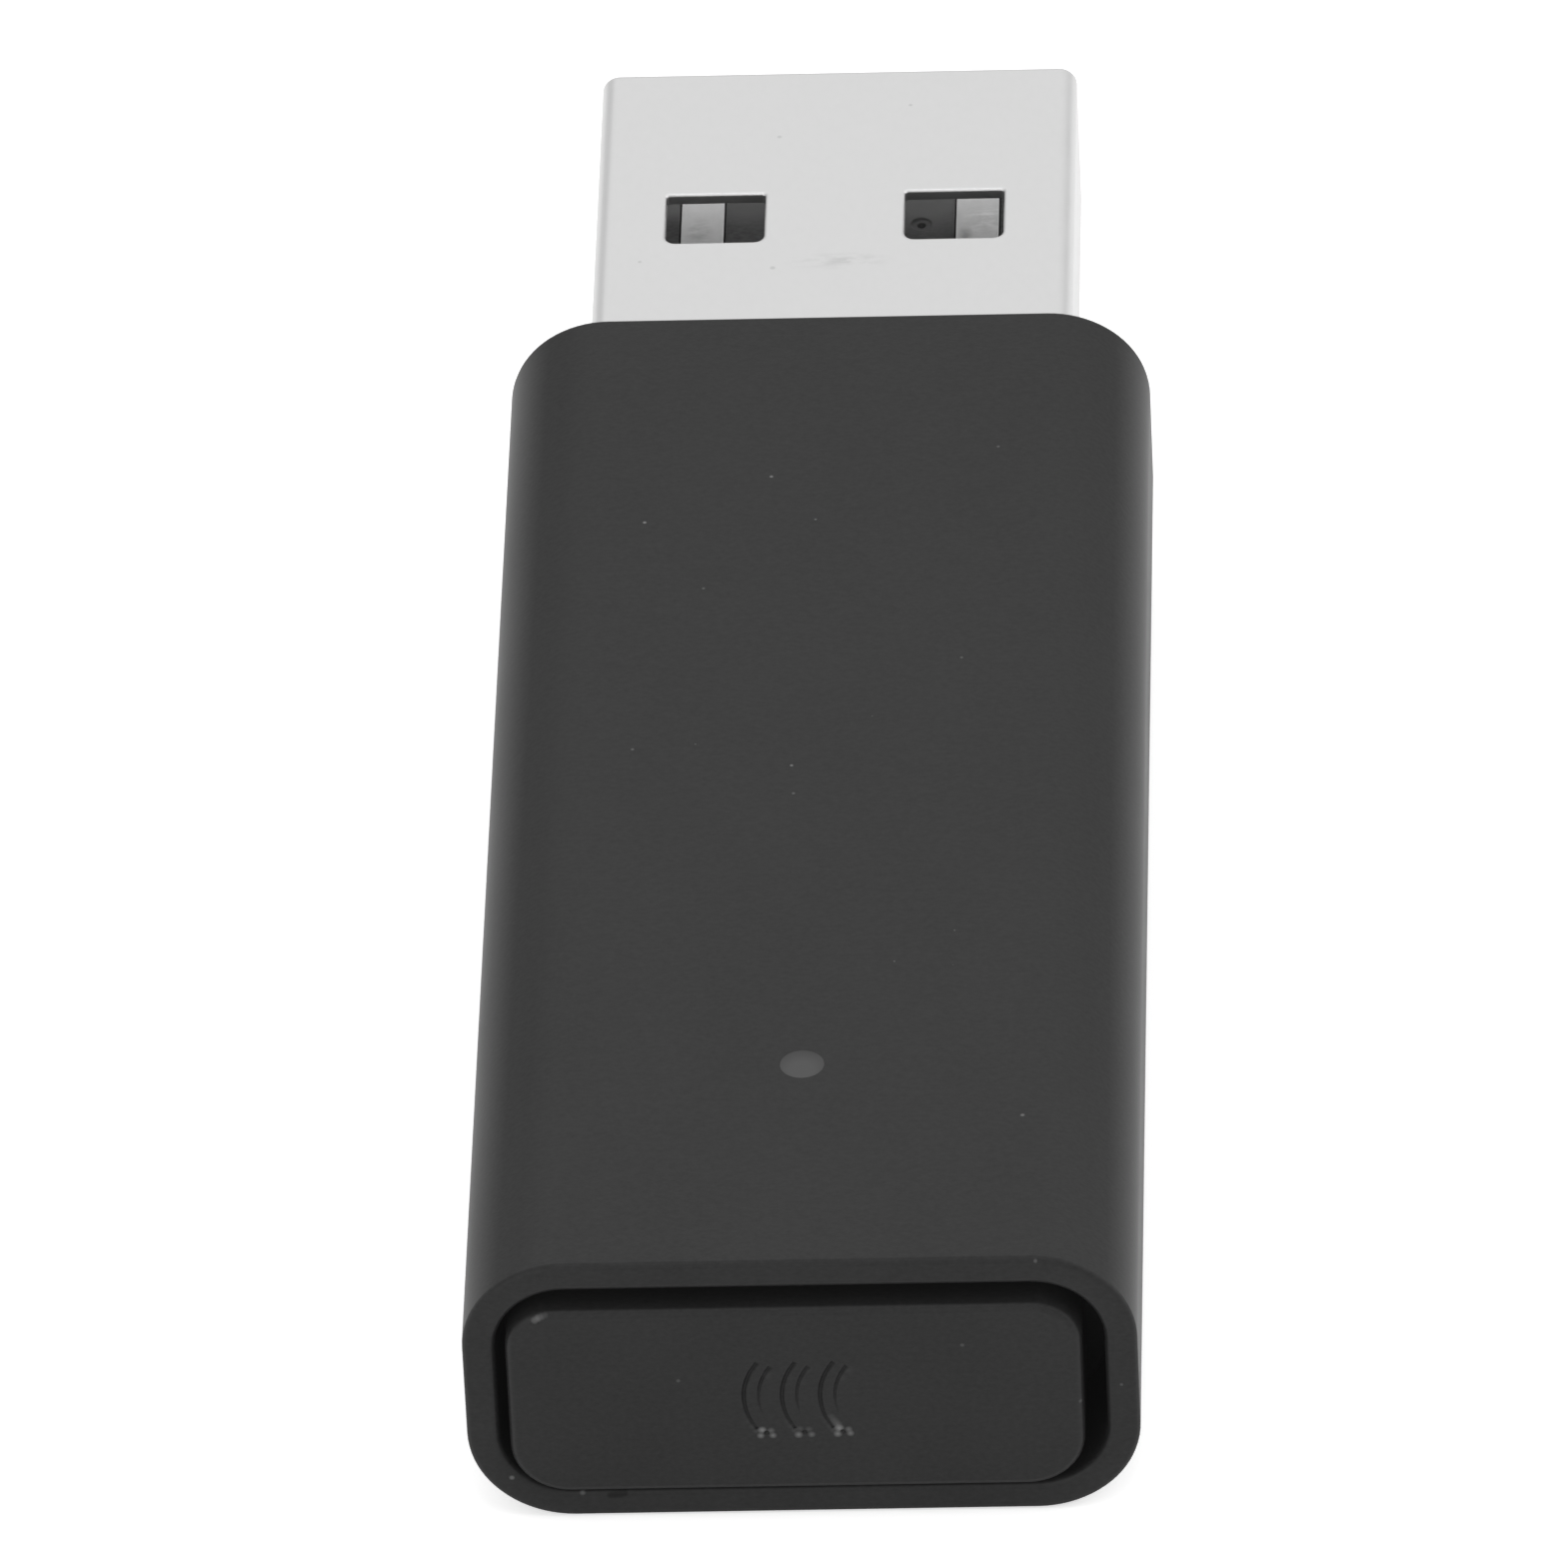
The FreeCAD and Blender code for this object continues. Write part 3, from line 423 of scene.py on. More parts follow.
def smooth(piece: bpy.types.Object, edge: float = 0.0, sharp: float = 35.0) -> None:
    """Shade a piece smoothly, with crisp or slightly broken edges.

    Args:
        piece: The piece.
        edge: How far its sharp edges are broken.
        sharp: The turn, in degrees, from which an edge counts as sharp.
    """
    if edge > 0:
        bevel = piece.modifiers.new("edges", "BEVEL")
        bevel.width = edge
        bevel.segments = 2
        bevel.limit_method = "ANGLE"
        bevel.angle_limit = math.radians(sharp)
        bevel.harden_normals = False
    piece.data.polygons.foreach_set("use_smooth", [True] * len(piece.data.polygons))
    piece.data.set_sharp_from_angle(angle=math.radians(sharp))
    weights = piece.modifiers.new("normals", "WEIGHTED_NORMAL")
    weights.keep_sharp = True


def place(piece: bpy.types.Object, node: str, body: str, finish: bpy.types.Material) -> None:
    """Put a finished piece in a node's stead.

    Args:
        piece: The piece.
        node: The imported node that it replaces.
        body: The body that it rides on.
        finish: Its finish.
    """
    piece.data.materials.clear()
    piece.data.materials.append(finish)
    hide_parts(node)
    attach(piece, body)
    LOG.info("%s stands for %s: %d faces", piece.name, node, len(piece.data.polygons))


class Weave:
    """A material's node tree, with short calls to add nodes and join them."""

    def __init__(self, name: str) -> None:
        """Start a material with only its shader and its output."""
        self.material = bpy.data.materials.new(name)
        self.material.use_nodes = True
        self.tree = self.material.node_tree
        self.tree.nodes.clear()
        self.output = self.add("ShaderNodeOutputMaterial")
        self.shader = self.add("ShaderNodeBsdfPrincipled")
        self.link(self.shader.outputs[0], self.output.inputs["Surface"])
        self.place = self.add("ShaderNodeTexCoord").outputs["Object"]

    def add(self, kind: str, **settings: object) -> bpy.types.Node:
        """Add a node and set its properties.

        Args:
            kind: The node's type.
            settings: Its properties by name.

        Returns:
            The node.
        """
        node = self.tree.nodes.new(kind)
        for key, value in settings.items():
            setattr(node, key, value)
        return node

    def link(self, source: Socket, target: Socket) -> None:
        """Join two sockets."""
        self.tree.links.new(source, target)

    def scaled(self, per_mm: Triple) -> Socket:
        """Object coordinates in millimetres, times a factor along each axis.

        Args:
            per_mm: The three factors.

        Returns:
            The scaled coordinates.
        """
        mapping = self.add("ShaderNodeMapping")
        mapping.inputs["Scale"].default_value = [factor / MM for factor in per_mm]
        self.link(self.place, mapping.inputs["Vector"])
        return mapping.outputs["Vector"]

    def noise(self, per_mm: Triple, detail: float = 3.0, rough: float = 0.5) -> Socket:
        """A cloudy value from 0 to 1.

        Args:
            per_mm: Clouds to the millimetre along each axis.
            detail: How many finer layers it has.
            rough: How strong the finer layers are.

        Returns:
            The value.
        """
        node = self.add("ShaderNodeTexNoise")
        node.inputs["Scale"].default_value = 1.0
        node.inputs["Detail"].default_value = detail
        node.inputs["Roughness"].default_value = rough
        self.link(self.scaled(per_mm), node.inputs["Vector"])
        return node.outputs["Fac"]

    def spread(
        self, value: Socket, low: float, high: float, start: float = 0.3, end: float = 0.7
    ) -> Socket:
        """Stretch a value from one range to another, and hold it there.

        Args:
            value: The value.
            low: What it becomes at the start.
            high: What it becomes at the end.
            start: The value at which the change starts.
            end: The value at which it ends.

        Returns:
            The stretched value.
        """
        node = self.add("ShaderNodeMapRange")
        for name, number in zip(("From Min", "From Max", "To Min", "To Max"), (start, end, low, high)):
            node.inputs[name].default_value = number
        self.link(value, node.inputs["Value"])
        return node.outputs["Result"]

    def combine(self, first: Socket, second: Socket | float, how: Sum) -> Socket:
        """Combine two values.

        Args:
            first: The first value.
            second: The second value, or a plain number.
            how: The sum that is done.

        Returns:
            The result.
        """
        node = self.add("ShaderNodeMath", operation=how.value)
        self.link(first, node.inputs[0])
        if isinstance(second, float):
            node.inputs[1].default_value = second
        else:
            self.link(second, node.inputs[1])
        return node.outputs[0]

    def mixed(self, share: Socket, under: Colour, over: Colour) -> Socket:
        """Mix two colours.

        Args:
            share: How much of the second shows, from 0 to 1.
            under: The first colour, a socket or three plain numbers.
            over: The second colour, likewise.

        Returns:
            The mixed colour.
        """
        node = self.add("ShaderNodeMix", data_type="RGBA")
        inputs = [socket for socket in node.inputs if socket.type == "RGBA"]
        for socket, colour in zip(inputs, (under, over)):
            if isinstance(colour, tuple):
                socket.default_value = (*colour, 1.0)
            else:
                self.link(colour, socket)
        self.link(share, node.inputs[0])
        return [socket for socket in node.outputs if socket.type == "RGBA"][0]

    def grey(self, value: Socket, dark: float, light: float) -> Socket:
        """A neutral colour between two greys."""
        return self.mixed(value, (dark,) * 3, (light,) * 3)

    def over(self, mask: Socket, under: Socket, shade: float) -> Socket:
        """Lay a grey over a colour where the mask says."""
        return self.mixed(mask, under, (shade,) * 3)

    def specks(self, per_mm: float, radius: float, share: float) -> Socket:
        """A mask of sparse round specks.

        Args:
            per_mm: Cells to the millimetre, each with at most one speck.
            radius: A speck's largest radius, as a share of its cell.
            share: The share of cells that hold one.

        Returns:
            The mask, 1 inside a speck.
        """
        cells = self.add("ShaderNodeTexVoronoi", feature="F1")
        cells.inputs["Scale"].default_value = 1.0
        self.link(self.scaled((per_mm, per_mm, per_mm)), cells.inputs["Vector"])
        chance = self.add("ShaderNodeSeparateColor")
        self.link(cells.outputs["Color"], chance.inputs[0])
        reach = self.spread(chance.outputs[0], 0.0, radius, 1.0 - share, 1.0)
        return self.combine(reach, cells.outputs["Distance"], Sum.ABOVE)

    def marked(self, under: Socket, marks: tuple[Mark, ...], core: float = 0.5) -> Socket:
        """Lay specks, nicks, dark patches and painted highlights or lighter patches over a colour.

        Args:
            under: The colour.
            marks: The marks.
            core: The share of a mark's reach inside which it covers the colour fully.

        Returns:
            The colour with the marks.
        """
        for mark in marks:
            gap = self.add("ShaderNodeVectorMath", operation="DISTANCE")
            self.link(self.place, gap.inputs[0])
            gap.inputs[1].default_value = (mark.x * MM, mark.y * MM, mark.z * MM)
            reach = mark.reach * MM
            mask = self.spread(gap.outputs["Value"], 1.0, 0.0, reach * core, reach * MARK_FADE)
            under = self.over(mask, under, mark.shade)
        return under

    def smudged(self, under: Socket, smudge: Smudge) -> Socket:
        """Lay a faint broken smudge, or a painted lighter patch, over a colour.

        Args:
            under: The colour.
            smudge: The smudge.

        Returns:
            The colour with the smudge.
        """
        away = self.add("ShaderNodeVectorMath", operation="SUBTRACT")
        self.link(self.place, away.inputs[0])
        away.inputs[1].default_value = [value * MM for value in smudge.place]
        shape = self.add("ShaderNodeVectorMath", operation="DIVIDE")
        self.link(away.outputs["Vector"], shape.inputs[0])
        shape.inputs[1].default_value = [value * MM for value in smudge.sides]
        size = self.add("ShaderNodeVectorMath", operation="LENGTH")
        self.link(shape.outputs["Vector"], size.inputs[0])
        edge = self.spread(size.outputs["Value"], 1.0, 0.0, smudge.core, 1.0)
        clouds = self.noise(smudge.clouds, detail=4.0)
        broken = self.spread(clouds, 0.0, 1.0, smudge.broken_from, smudge.broken_to)
        return self.over(self.combine(edge, broken, Sum.TIMES), under, smudge.shade)

    def bump(self, height: Socket, depth: float) -> None:
        """Raise the surface by a pattern.

        Args:
            height: The pattern.
            depth: How deep it goes, in metres.
        """
        node = self.add("ShaderNodeBump")
        node.inputs["Strength"].default_value = 1.0
        node.inputs["Distance"].default_value = depth
        self.link(height, node.inputs["Height"])
        self.link(node.outputs["Normal"], self.shader.inputs["Normal"])


@dataclass(frozen=True)
class Moulding:
    """Satin moulded plastic, duller toward grazing: its fine grain, dust and nicks, painted highlights
    and lighter patches, and a faint painted glow.
    """

    name: str
    shade: float
    roughness: float = 0.4
    specular: float = 0.15
    edge_specular: float = 0.06
    dust: float = 0.05
    dust_shade: float = 0.07
    dust_per_mm: float = 1.4
    dust_radius: float = 0.05
    clouds_per_mm: Triple = (0.3, 0.15, 0.3)
    cloud_share: float = 0.5
    fine_per_mm: Triple = (6.0, 9.0, 9.0)
    fine_rough: float = 0.6
    mottle: float = 0.3
    mottle_from: float = 0.45
    mottle_to: float = 1.05
    grain: float = 0.0022 * MM
    # A faint even painted glow: an emission that lifts every tone of the plastic a little.
    painted_glow: float = 0.003
    dull_from: float = 0.39
    dull_to: float = 0.55
    marks: tuple[Mark, ...] = ()
    glints: tuple[Mark, ...] = ()
    glint_core: float = 0.15

    def material(self) -> bpy.types.Material:
        """Build the finish."""
        weave = Weave(self.name)
        clouds = weave.noise(self.clouds_per_mm)
        fine = weave.noise(self.fine_per_mm, rough=self.fine_rough)
        tone = weave.combine(weave.combine(clouds, self.cloud_share, Sum.TIMES), fine, Sum.ADD)
        mottle = weave.spread(tone, 0.0, 1.0, self.mottle_from, self.mottle_to)
        colour = weave.grey(mottle, self.shade * (1.0 - self.mottle), self.shade * (1.0 + self.mottle))
        if self.dust > 0:
            specks = weave.specks(self.dust_per_mm, self.dust_radius, self.dust)
            colour = weave.over(specks, colour, self.dust_shade)
        colour = weave.marked(colour, self.marks)
        colour = weave.marked(colour, self.glints, self.glint_core)
        weave.link(colour, weave.shader.inputs["Base Color"])
        sheen = weave.spread(clouds, self.roughness - SHEEN_PLAY, self.roughness + SHEEN_PLAY)
        weave.link(sheen, weave.shader.inputs["Roughness"])
        facing = weave.add("ShaderNodeLayerWeight").outputs["Facing"]
        gloss = weave.spread(facing, self.specular, self.edge_specular, self.dull_from, self.dull_to)
        weave.link(gloss, weave.shader.inputs["Specular IOR Level"])
        # Painted glow: the plastic gives off a faint even light of its own.
        weave.shader.inputs["Emission Color"].default_value = WHITE
        weave.shader.inputs["Emission Strength"].default_value = self.painted_glow
        weave.bump(fine, self.grain)
        return weave.material


@dataclass(frozen=True)
class PlatedSheet:
    """Plated metal sheet: a soft even sheen with a faint mottle, specks, smudges and painted lighter
    patches.
    """

    name: str
    shade: float
    roughness: float = 0.36
    clouds_per_mm: Triple = (0.8, 0.8, 0.8)
    cloud_detail: float = 4.0
    cloud_rough: float = 0.6
    fine_per_mm: Triple = (5.0, 3.0, 5.0)
    mottle: float = 0.012
    mottle_from: float = 0.7
    mottle_to: float = 1.3
    grain: float = 0.0004 * MM
    speck_per_mm: float = 0.9
    speck_radius: float = 0.045
    speck_share: float = 0.1
    speck_tone: float = 0.82
    marks: tuple[Mark, ...] = ()
    smudges: tuple[Smudge, ...] = ()

    def material(self) -> bpy.types.Material:
        """Build the finish."""
        weave = Weave(self.name)
        clouds = weave.noise(self.clouds_per_mm, self.cloud_detail, self.cloud_rough)
        fine = weave.noise(self.fine_per_mm)
        tone = weave.combine(clouds, fine, Sum.ADD)
        mottle = weave.spread(tone, 0.0, 1.0, self.mottle_from, self.mottle_to)
        colour = weave.grey(mottle, self.shade * (1.0 - self.mottle), self.shade * (1.0 + self.mottle))
        specks = weave.specks(self.speck_per_mm, self.speck_radius, self.speck_share)
        colour = weave.over(specks, colour, self.shade * self.speck_tone)
        colour = weave.marked(colour, self.marks)
        for smudge in self.smudges:
            colour = weave.smudged(colour, smudge)
        weave.link(colour, weave.shader.inputs["Base Color"])
        weave.shader.inputs["Metallic"].default_value = 1.0
        sheen = weave.spread(clouds, self.roughness - SHEEN_PLAY, self.roughness + SHEEN_PLAY)
        weave.link(sheen, weave.shader.inputs["Roughness"])
        weave.bump(fine, self.grain)
        return weave.material


@dataclass(frozen=True)
class MilkyMoulding:
    """Milky plastic with painted light: its colour is lightest near a point just in front of its middle
    and fades to a darker rim.
    """

    name: str
    shade: float
    rim_shade: float
    middle: Vector
    clear: float = 0.3 * MM
    reach: float = 0.85 * MM
    clouds_per_mm: Triple = (3.0, 3.0, 3.0)
    faintest: float = 0.9
    smoothest: float = 0.35
    roughest: float = 0.45
    specular: float = 0.25

    def material(self) -> bpy.types.Material:
        """Build the finish."""
        weave = Weave(self.name)
        clouds = weave.noise(self.clouds_per_mm)
        # Painted light: the colour is lightest within a small distance of the middle point and fades to
        # the rim shade further out.
        gap = weave.add("ShaderNodeVectorMath", operation="DISTANCE")
        weave.link(weave.place, gap.inputs[0])
        gap.inputs[1].default_value = self.middle
        near = weave.spread(gap.outputs["Value"], 1.0, 0.0, self.clear, self.reach)
        mottled = weave.combine(near, weave.spread(clouds, self.faintest, 1.0), Sum.TIMES)
        weave.link(weave.grey(mottled, self.rim_shade, self.shade), weave.shader.inputs["Base Color"])
        sheen = weave.spread(clouds, self.smoothest, self.roughest)
        weave.link(sheen, weave.shader.inputs["Roughness"])
        weave.shader.inputs["Specular IOR Level"].default_value = self.specular
        return weave.material


@dataclass(frozen=True)
class Laminate:
    """A board's or a part's coloured surface, with a faint woven or baked mottle."""

    name: str
    dark: Triple
    light: Triple
    roughness: float = 0.4
    play: float = 0.05
    mottles_per_mm: Triple = (4.0, 4.0, 4.0)

    def material(self) -> bpy.types.Material:
        """Build the finish."""
        weave = Weave(self.name)
        mottle = weave.noise(self.mottles_per_mm)
        colour = weave.mixed(weave.spread(mottle, 0.0, 1.0), self.dark, self.light)
        weave.link(colour, weave.shader.inputs["Base Color"])
        sheen = weave.spread(mottle, self.roughness - self.play, self.roughness + self.play)
        weave.link(sheen, weave.shader.inputs["Roughness"])
        return weave.material


@dataclass
class Sleeve:
    """The one-piece moulded sleeve: a rounded tube with rails inside and a hole for the light."""

    finish: Moulding
    wall: float = 0.78 * MM
    corner: float = 2.5 * MM
    end_wall: float = 1.2 * MM
    rim_round: float = 0.15 * MM
    mouth_round: float = 0.18 * MM
    tail_round: float = 0.25 * MM
    plug_slip: float = 0.1 * MM
    plug_width: float = 12.1 * MM
    plug_corner: float = 0.45 * MM
    hole_radius: float = 0.53 * MM
    rail_reach: float = 0.6 * MM
    rail_height: float = 0.6 * MM
    rail_play: float = 0.05 * MM
    rail_start: float = 1.0 * MM
    corner_steps: int = 20
    hole_steps: int = 64
    box: Box = field(default_factory=lambda: Box.of("housing_sleeve"))

    def tube(self) -> bpy.types.Object:
        """The tube, open at the button's end and closed at the plug's."""
        solid = Solid()
        centre = self.box.centre
        rim, tail = self.box.low.y, self.box.high.y
        sides = (self.box.size.x, self.box.size.z)
        spot = Vector((centre.x, rim, centre.z))
        radii = (self.corner, self.corner)
        mouth = solid.sheet(sides, radii, spot, Cross.LENGTH, self.corner_steps)
        end = solid.draw([mouth], Vector((0, tail - rim, 0)))[0]
        outer_rim = list(mouth.edges)
        solid.inset(mouth, self.wall)
        inner_rim = list(mouth.edges)
        solid.draw([mouth], Vector((0, tail - rim - self.end_wall, 0)))
        solid.soften(outer_rim, self.rim_round)
        solid.soften(inner_rim, self.mouth_round)
        solid.soften(list(end.edges), self.tail_round)
        return solid.finish("sleeve_shell")

    def plug_opening(self) -> bpy.types.Object:
        """The plug of plastic that the opening in the end wall removes."""
        solid = Solid()
        plug = Box.of("plug_shell")
        sides = (self.plug_width + 2 * self.plug_slip, plug.size.z + 2 * self.plug_slip)
        foot = Vector((plug.centre.x, self.box.high.y - 2 * self.end_wall, plug.centre.z))
        radius = self.plug_corner + self.plug_slip
        sheet = solid.sheet(sides, (radius, radius), foot, Cross.LENGTH)
        solid.draw([sheet], Vector((0, 3 * self.end_wall, 0)))
        return solid.finish("sleeve_plug_opening")

    def rails(self) -> bpy.types.Object:
        """The four rails that hold the board."""
        solid = Solid()
        board = Box.of("circuit_board")
        notch = Box.of("plug_shell").low.y - self.rail_play
        start = Box.of("end_frame").low.y + self.rail_start
        half = self.box.size.x / 2 - self.wall
        for side in (-1, 1):
            edges = sorted((side * (half - self.rail_reach), side * (half + self.wall / 2)))
            for low in (board.low.z - self.rail_height, board.high.z + self.rail_play):
                solid.block(
                    Vector((edges[0], start, low)),
                    Vector((edges[1], notch, low + self.rail_height)),
                )
        return solid.finish("sleeve_rails")

    def light_hole(self) -> bpy.types.Object:
        """The plug of plastic that the light's hole removes."""
        solid = Solid()
        pipe = Box.of("light_pipe")
        height = self.box.size.z / 2
        top = Matrix.Translation((pipe.centre.x, pipe.centre.y, self.box.high.z))
        bmesh.ops.create_cone(
            solid.bm,
            cap_ends=True,
            segments=self.hole_steps,
            radius1=self.hole_radius,
            radius2=self.hole_radius,
            depth=height,
            matrix=top,
        )
        return solid.finish("sleeve_light_hole")

    def build(self) -> None:
        """Make the sleeve and put it in the node's stead."""
        piece = self.tube()
        join(piece, self.plug_opening(), Blend.CUT)
        join(piece, self.rails(), Blend.ADD)
        join(piece, self.light_hole(), Blend.CUT)
        smooth(piece)
        place(piece, "housing_sleeve", HOUSING, self.finish.material())


@dataclass
class ButtonCap:
    """The button that fills the open end, with a plain sign of three arcs pressed in its face."""

    finish: Moulding
    plate: float = 1.0 * MM
    skirt: float = 0.7 * MM
    skirt_depth: float = 2.8 * MM
    corner: float = 1.15 * MM
    foot_corner: float = 1.4 * MM
    edge_round: float = 0.2 * MM
    leg_inset: float = 1.0 * MM
    leg_width: float = 1.0 * MM
    leg_height: float = 2.0 * MM
    hook_seat: float = 4.3 * MM
    hook_play: float = 0.05 * MM
    hook_reach: float = 0.4 * MM
    hook_length: float = 0.7 * MM
    post_width: float = 2.0 * MM
    post_height: float = 0.8 * MM
    groove_width: float = 0.14 * MM
    groove_floor: float = 0.02 * MM
    groove_depth: float = 0.065 * MM
    arc_count: int = 3
    arc_pitch: float = 0.905 * MM
    arc_height: float = 3.68 * MM
    arc_outer: float = 1.72 * MM
    arc_outer_left: float = -1.37 * MM
    arc_inner: float = 1.52 * MM
    arc_inner_left: float = -1.02 * MM
    arc_above: float = math.radians(38)
    arc_below: float = math.radians(33)
    inner_below: float = math.radians(22)
    outer_fade: float = 0.4
    inner_fade: float = 1.0
    groove_steps: int = 32
    pit_radius: float = 0.07 * MM
    pit_depth: float = 0.12 * MM
    pit_across: float = -0.87 * MM
    pit_height: float = 2.62 * MM
    pit_steps: int = 24
    edge_steps: int = 5
    crisp: float = 25.0
    box: Box = field(default_factory=lambda: Box.of("pairing_button"))

    def cap(self) -> bpy.types.Object:
        """The cap itself, hollow behind its face."""
        solid = Solid()
        centre = self.box.centre
        sides = (self.box.size.x, self.box.size.z)
        spot = Vector((centre.x, self.box.low.y, centre.z))
        face = solid.sheet(sides, (self.foot_corner, self.corner), spot, Cross.LENGTH)
        edges = list(face.edges)
        back = solid.draw([face], Vector((0, self.skirt_depth, 0)))[0]
        solid.inset(back, self.skirt)
        solid.draw([back], Vector((0, self.plate - self.skirt_depth, 0)))
        solid.soften(edges, self.edge_round, self.edge_steps)
        return solid.finish("button_cap")

    def works(self) -> bpy.types.Object:
        """The snap legs, their hooks and the push post behind the face."""
        solid = Solid()
        sleeve = Box.of("housing_sleeve")
        start = self.box.low.y + self.plate / 2
        hook = sleeve.low.y + self.hook_seat + self.hook_play
        end = hook + self.hook_length
        low = sleeve.centre.z - self.leg_height / 2
        legs = ((-1, self.box.low.x + self.leg_inset), (1, self.box.high.x - self.leg_inset))
        for side, outer in legs:
            inner, reach = outer - side * self.leg_width, outer + side * self.hook_reach
            turns = (
                (inner, start),
                (outer, start),
                (outer, hook),
                (reach, hook),
                (reach, end),
                (inner, end),
            )
            solid.prism([Vector((x, y, low)) for x, y in turns], Vector((0, 0, self.leg_height)))
        plunger = Box.of("switch_plunger")
        low = plunger.centre.z - self.post_height / 2
        solid.block(
            Vector((-self.post_width / 2, start, low)),
            Vector((self.post_width / 2, plunger.low.y, low + self.post_height)),
        )
        return solid.finish("button_works")

    def groove(
        self, solid: Solid, centre: Vector, radius: float, start: float, turn: float, fade: float
    ) -> None:
        """Add the solid that one fine groove removes, as it follows a circle in the face.

        Args:
            solid: The solid to add it to.
            centre: The circle's middle, in the face.
            radius: The circle's radius.
            start: The angle that it starts at, from the circle's left, upward.
            turn: The angle that it runs through, downward.
            fade: How much shallower it gets toward its lower end.
        """
        depth, out = self.groove_depth, self.groove_depth / 2
        floor = self.groove_floor / 2
        lip = floor + (self.groove_width / 2 - floor) * (depth + out) / depth
        turns = ((-lip, -out), (-floor, depth), (floor, depth), (lip, -out))
        spot = Matrix.Translation(centre) @ Matrix.Rotation(start, 4, "Y")
        verts = [solid.bm.verts.new(spot @ Vector((x - radius, y, 0))) for x, y in turns]
        edges = [solid.bm.edges.new(pair) for pair in zip(verts, verts[1:] + verts[:1])]
        bmesh.ops.spin(
            solid.bm,
            geom=verts + edges,
            cent=centre,
            axis=(0, -1, 0),
            dvec=(0, -fade / self.groove_steps, 0),
            angle=turn,
            steps=self.groove_steps,
            use_merge=False,
            use_duplicate=False,
        )
        ends = [edge for edge in solid.bm.edges if edge.is_boundary]
        bmesh.ops.holes_fill(solid.bm, edges=ends, sides=len(turns))

    def sign(self) -> bpy.types.Object:
        """The sign's fine grooves: each arc has two lines, the outer one down to a small pit."""
        solid = Solid()
        front = self.box.low.y
        lines = (
            (self.arc_outer_left, self.arc_outer, self.arc_below, self.outer_fade),
            (self.arc_inner_left, self.arc_inner, self.inner_below, self.inner_fade),
        )
        for i in range(self.arc_count):
            shift = i * self.arc_pitch
            for left, radius, below, share in lines:
                centre = Vector((left + radius + shift, front, self.arc_height))
                turn = self.arc_above + below
                fade = share * self.groove_depth
                self.groove(solid, centre, radius, self.arc_above, turn, fade)
            pit = Vector((self.pit_across + shift, front, self.pit_height))
            bmesh.ops.create_cone(
                solid.bm,
                cap_ends=True,
                segments=self.pit_steps,
                radius1=2 * self.pit_radius,
                radius2=0,
                depth=2 * self.pit_depth,
                matrix=Matrix.Translation(pit) @ Matrix.Rotation(math.radians(-90), 4, "X"),
            )
        return solid.finish("button_sign")

    def build(self) -> None:
        """Make the button and put it in the node's stead."""
        piece = self.cap()
        join(piece, self.works(), Blend.ADD)
        join(piece, self.sign(), Blend.CUT)
        smooth(piece, sharp=self.crisp)
        place(piece, "pairing_button", BUTTON, self.finish.material())


@dataclass
class LightPipe:
    """The turned light pipe: a rod whose end is the window in the top face."""

    shade: float
    rim_shade: float
    rod: float = 0.51 * MM
    window: float = 0.529 * MM
    flange: float = 1.01 * MM
    flange_thick: float = 0.4 * MM
    ceiling_drop: float = 0.78 * MM
    painted_light_shift: float = 0.2 * MM
    steps: int = 48
    box: Box = field(default_factory=lambda: Box.of("light_pipe"))

    def build(self) -> None:
        """Spin the profile and put it in the node's stead."""
        solid = Solid()
        low, high = self.box.low.z, self.box.high.z
        ceiling = high - self.ceiling_drop
        profile = (
            (0, low),
            (self.rod, low),
            (self.rod, ceiling - self.flange_thick),
            (self.flange, ceiling - self.flange_thick),
            (self.flange, ceiling),
            (self.rod, ceiling),
            (self.window, high - self.ceiling_drop / 2),
            (self.window, high),
            (0, high),
        )
        centre = Vector((self.box.centre.x, self.box.centre.y, 0))
        verts = [solid.bm.verts.new(centre + Vector((r, 0, z))) for r, z in profile]
        edges = [solid.bm.edges.new(pair) for pair in zip(verts, verts[1:])]
        bmesh.ops.spin(
            solid.bm,
            geom=verts + edges,
            cent=centre,
            axis=(0, 0, 1),
            angle=math.tau,
            steps=self.steps,
            use_merge=True,
            use_duplicate=False,
        )
        piece = solid.finish("light_window")
        smooth(piece)
        # The painted light's lightest point sits a little in front of the window's centre.
        middle = centre + Vector((0, -self.painted_light_shift, high))
        finish = MilkyMoulding("light_pipe_plastic", self.shade, self.rim_shade, middle)
        place(piece, "light_pipe", HOUSING, finish.material())


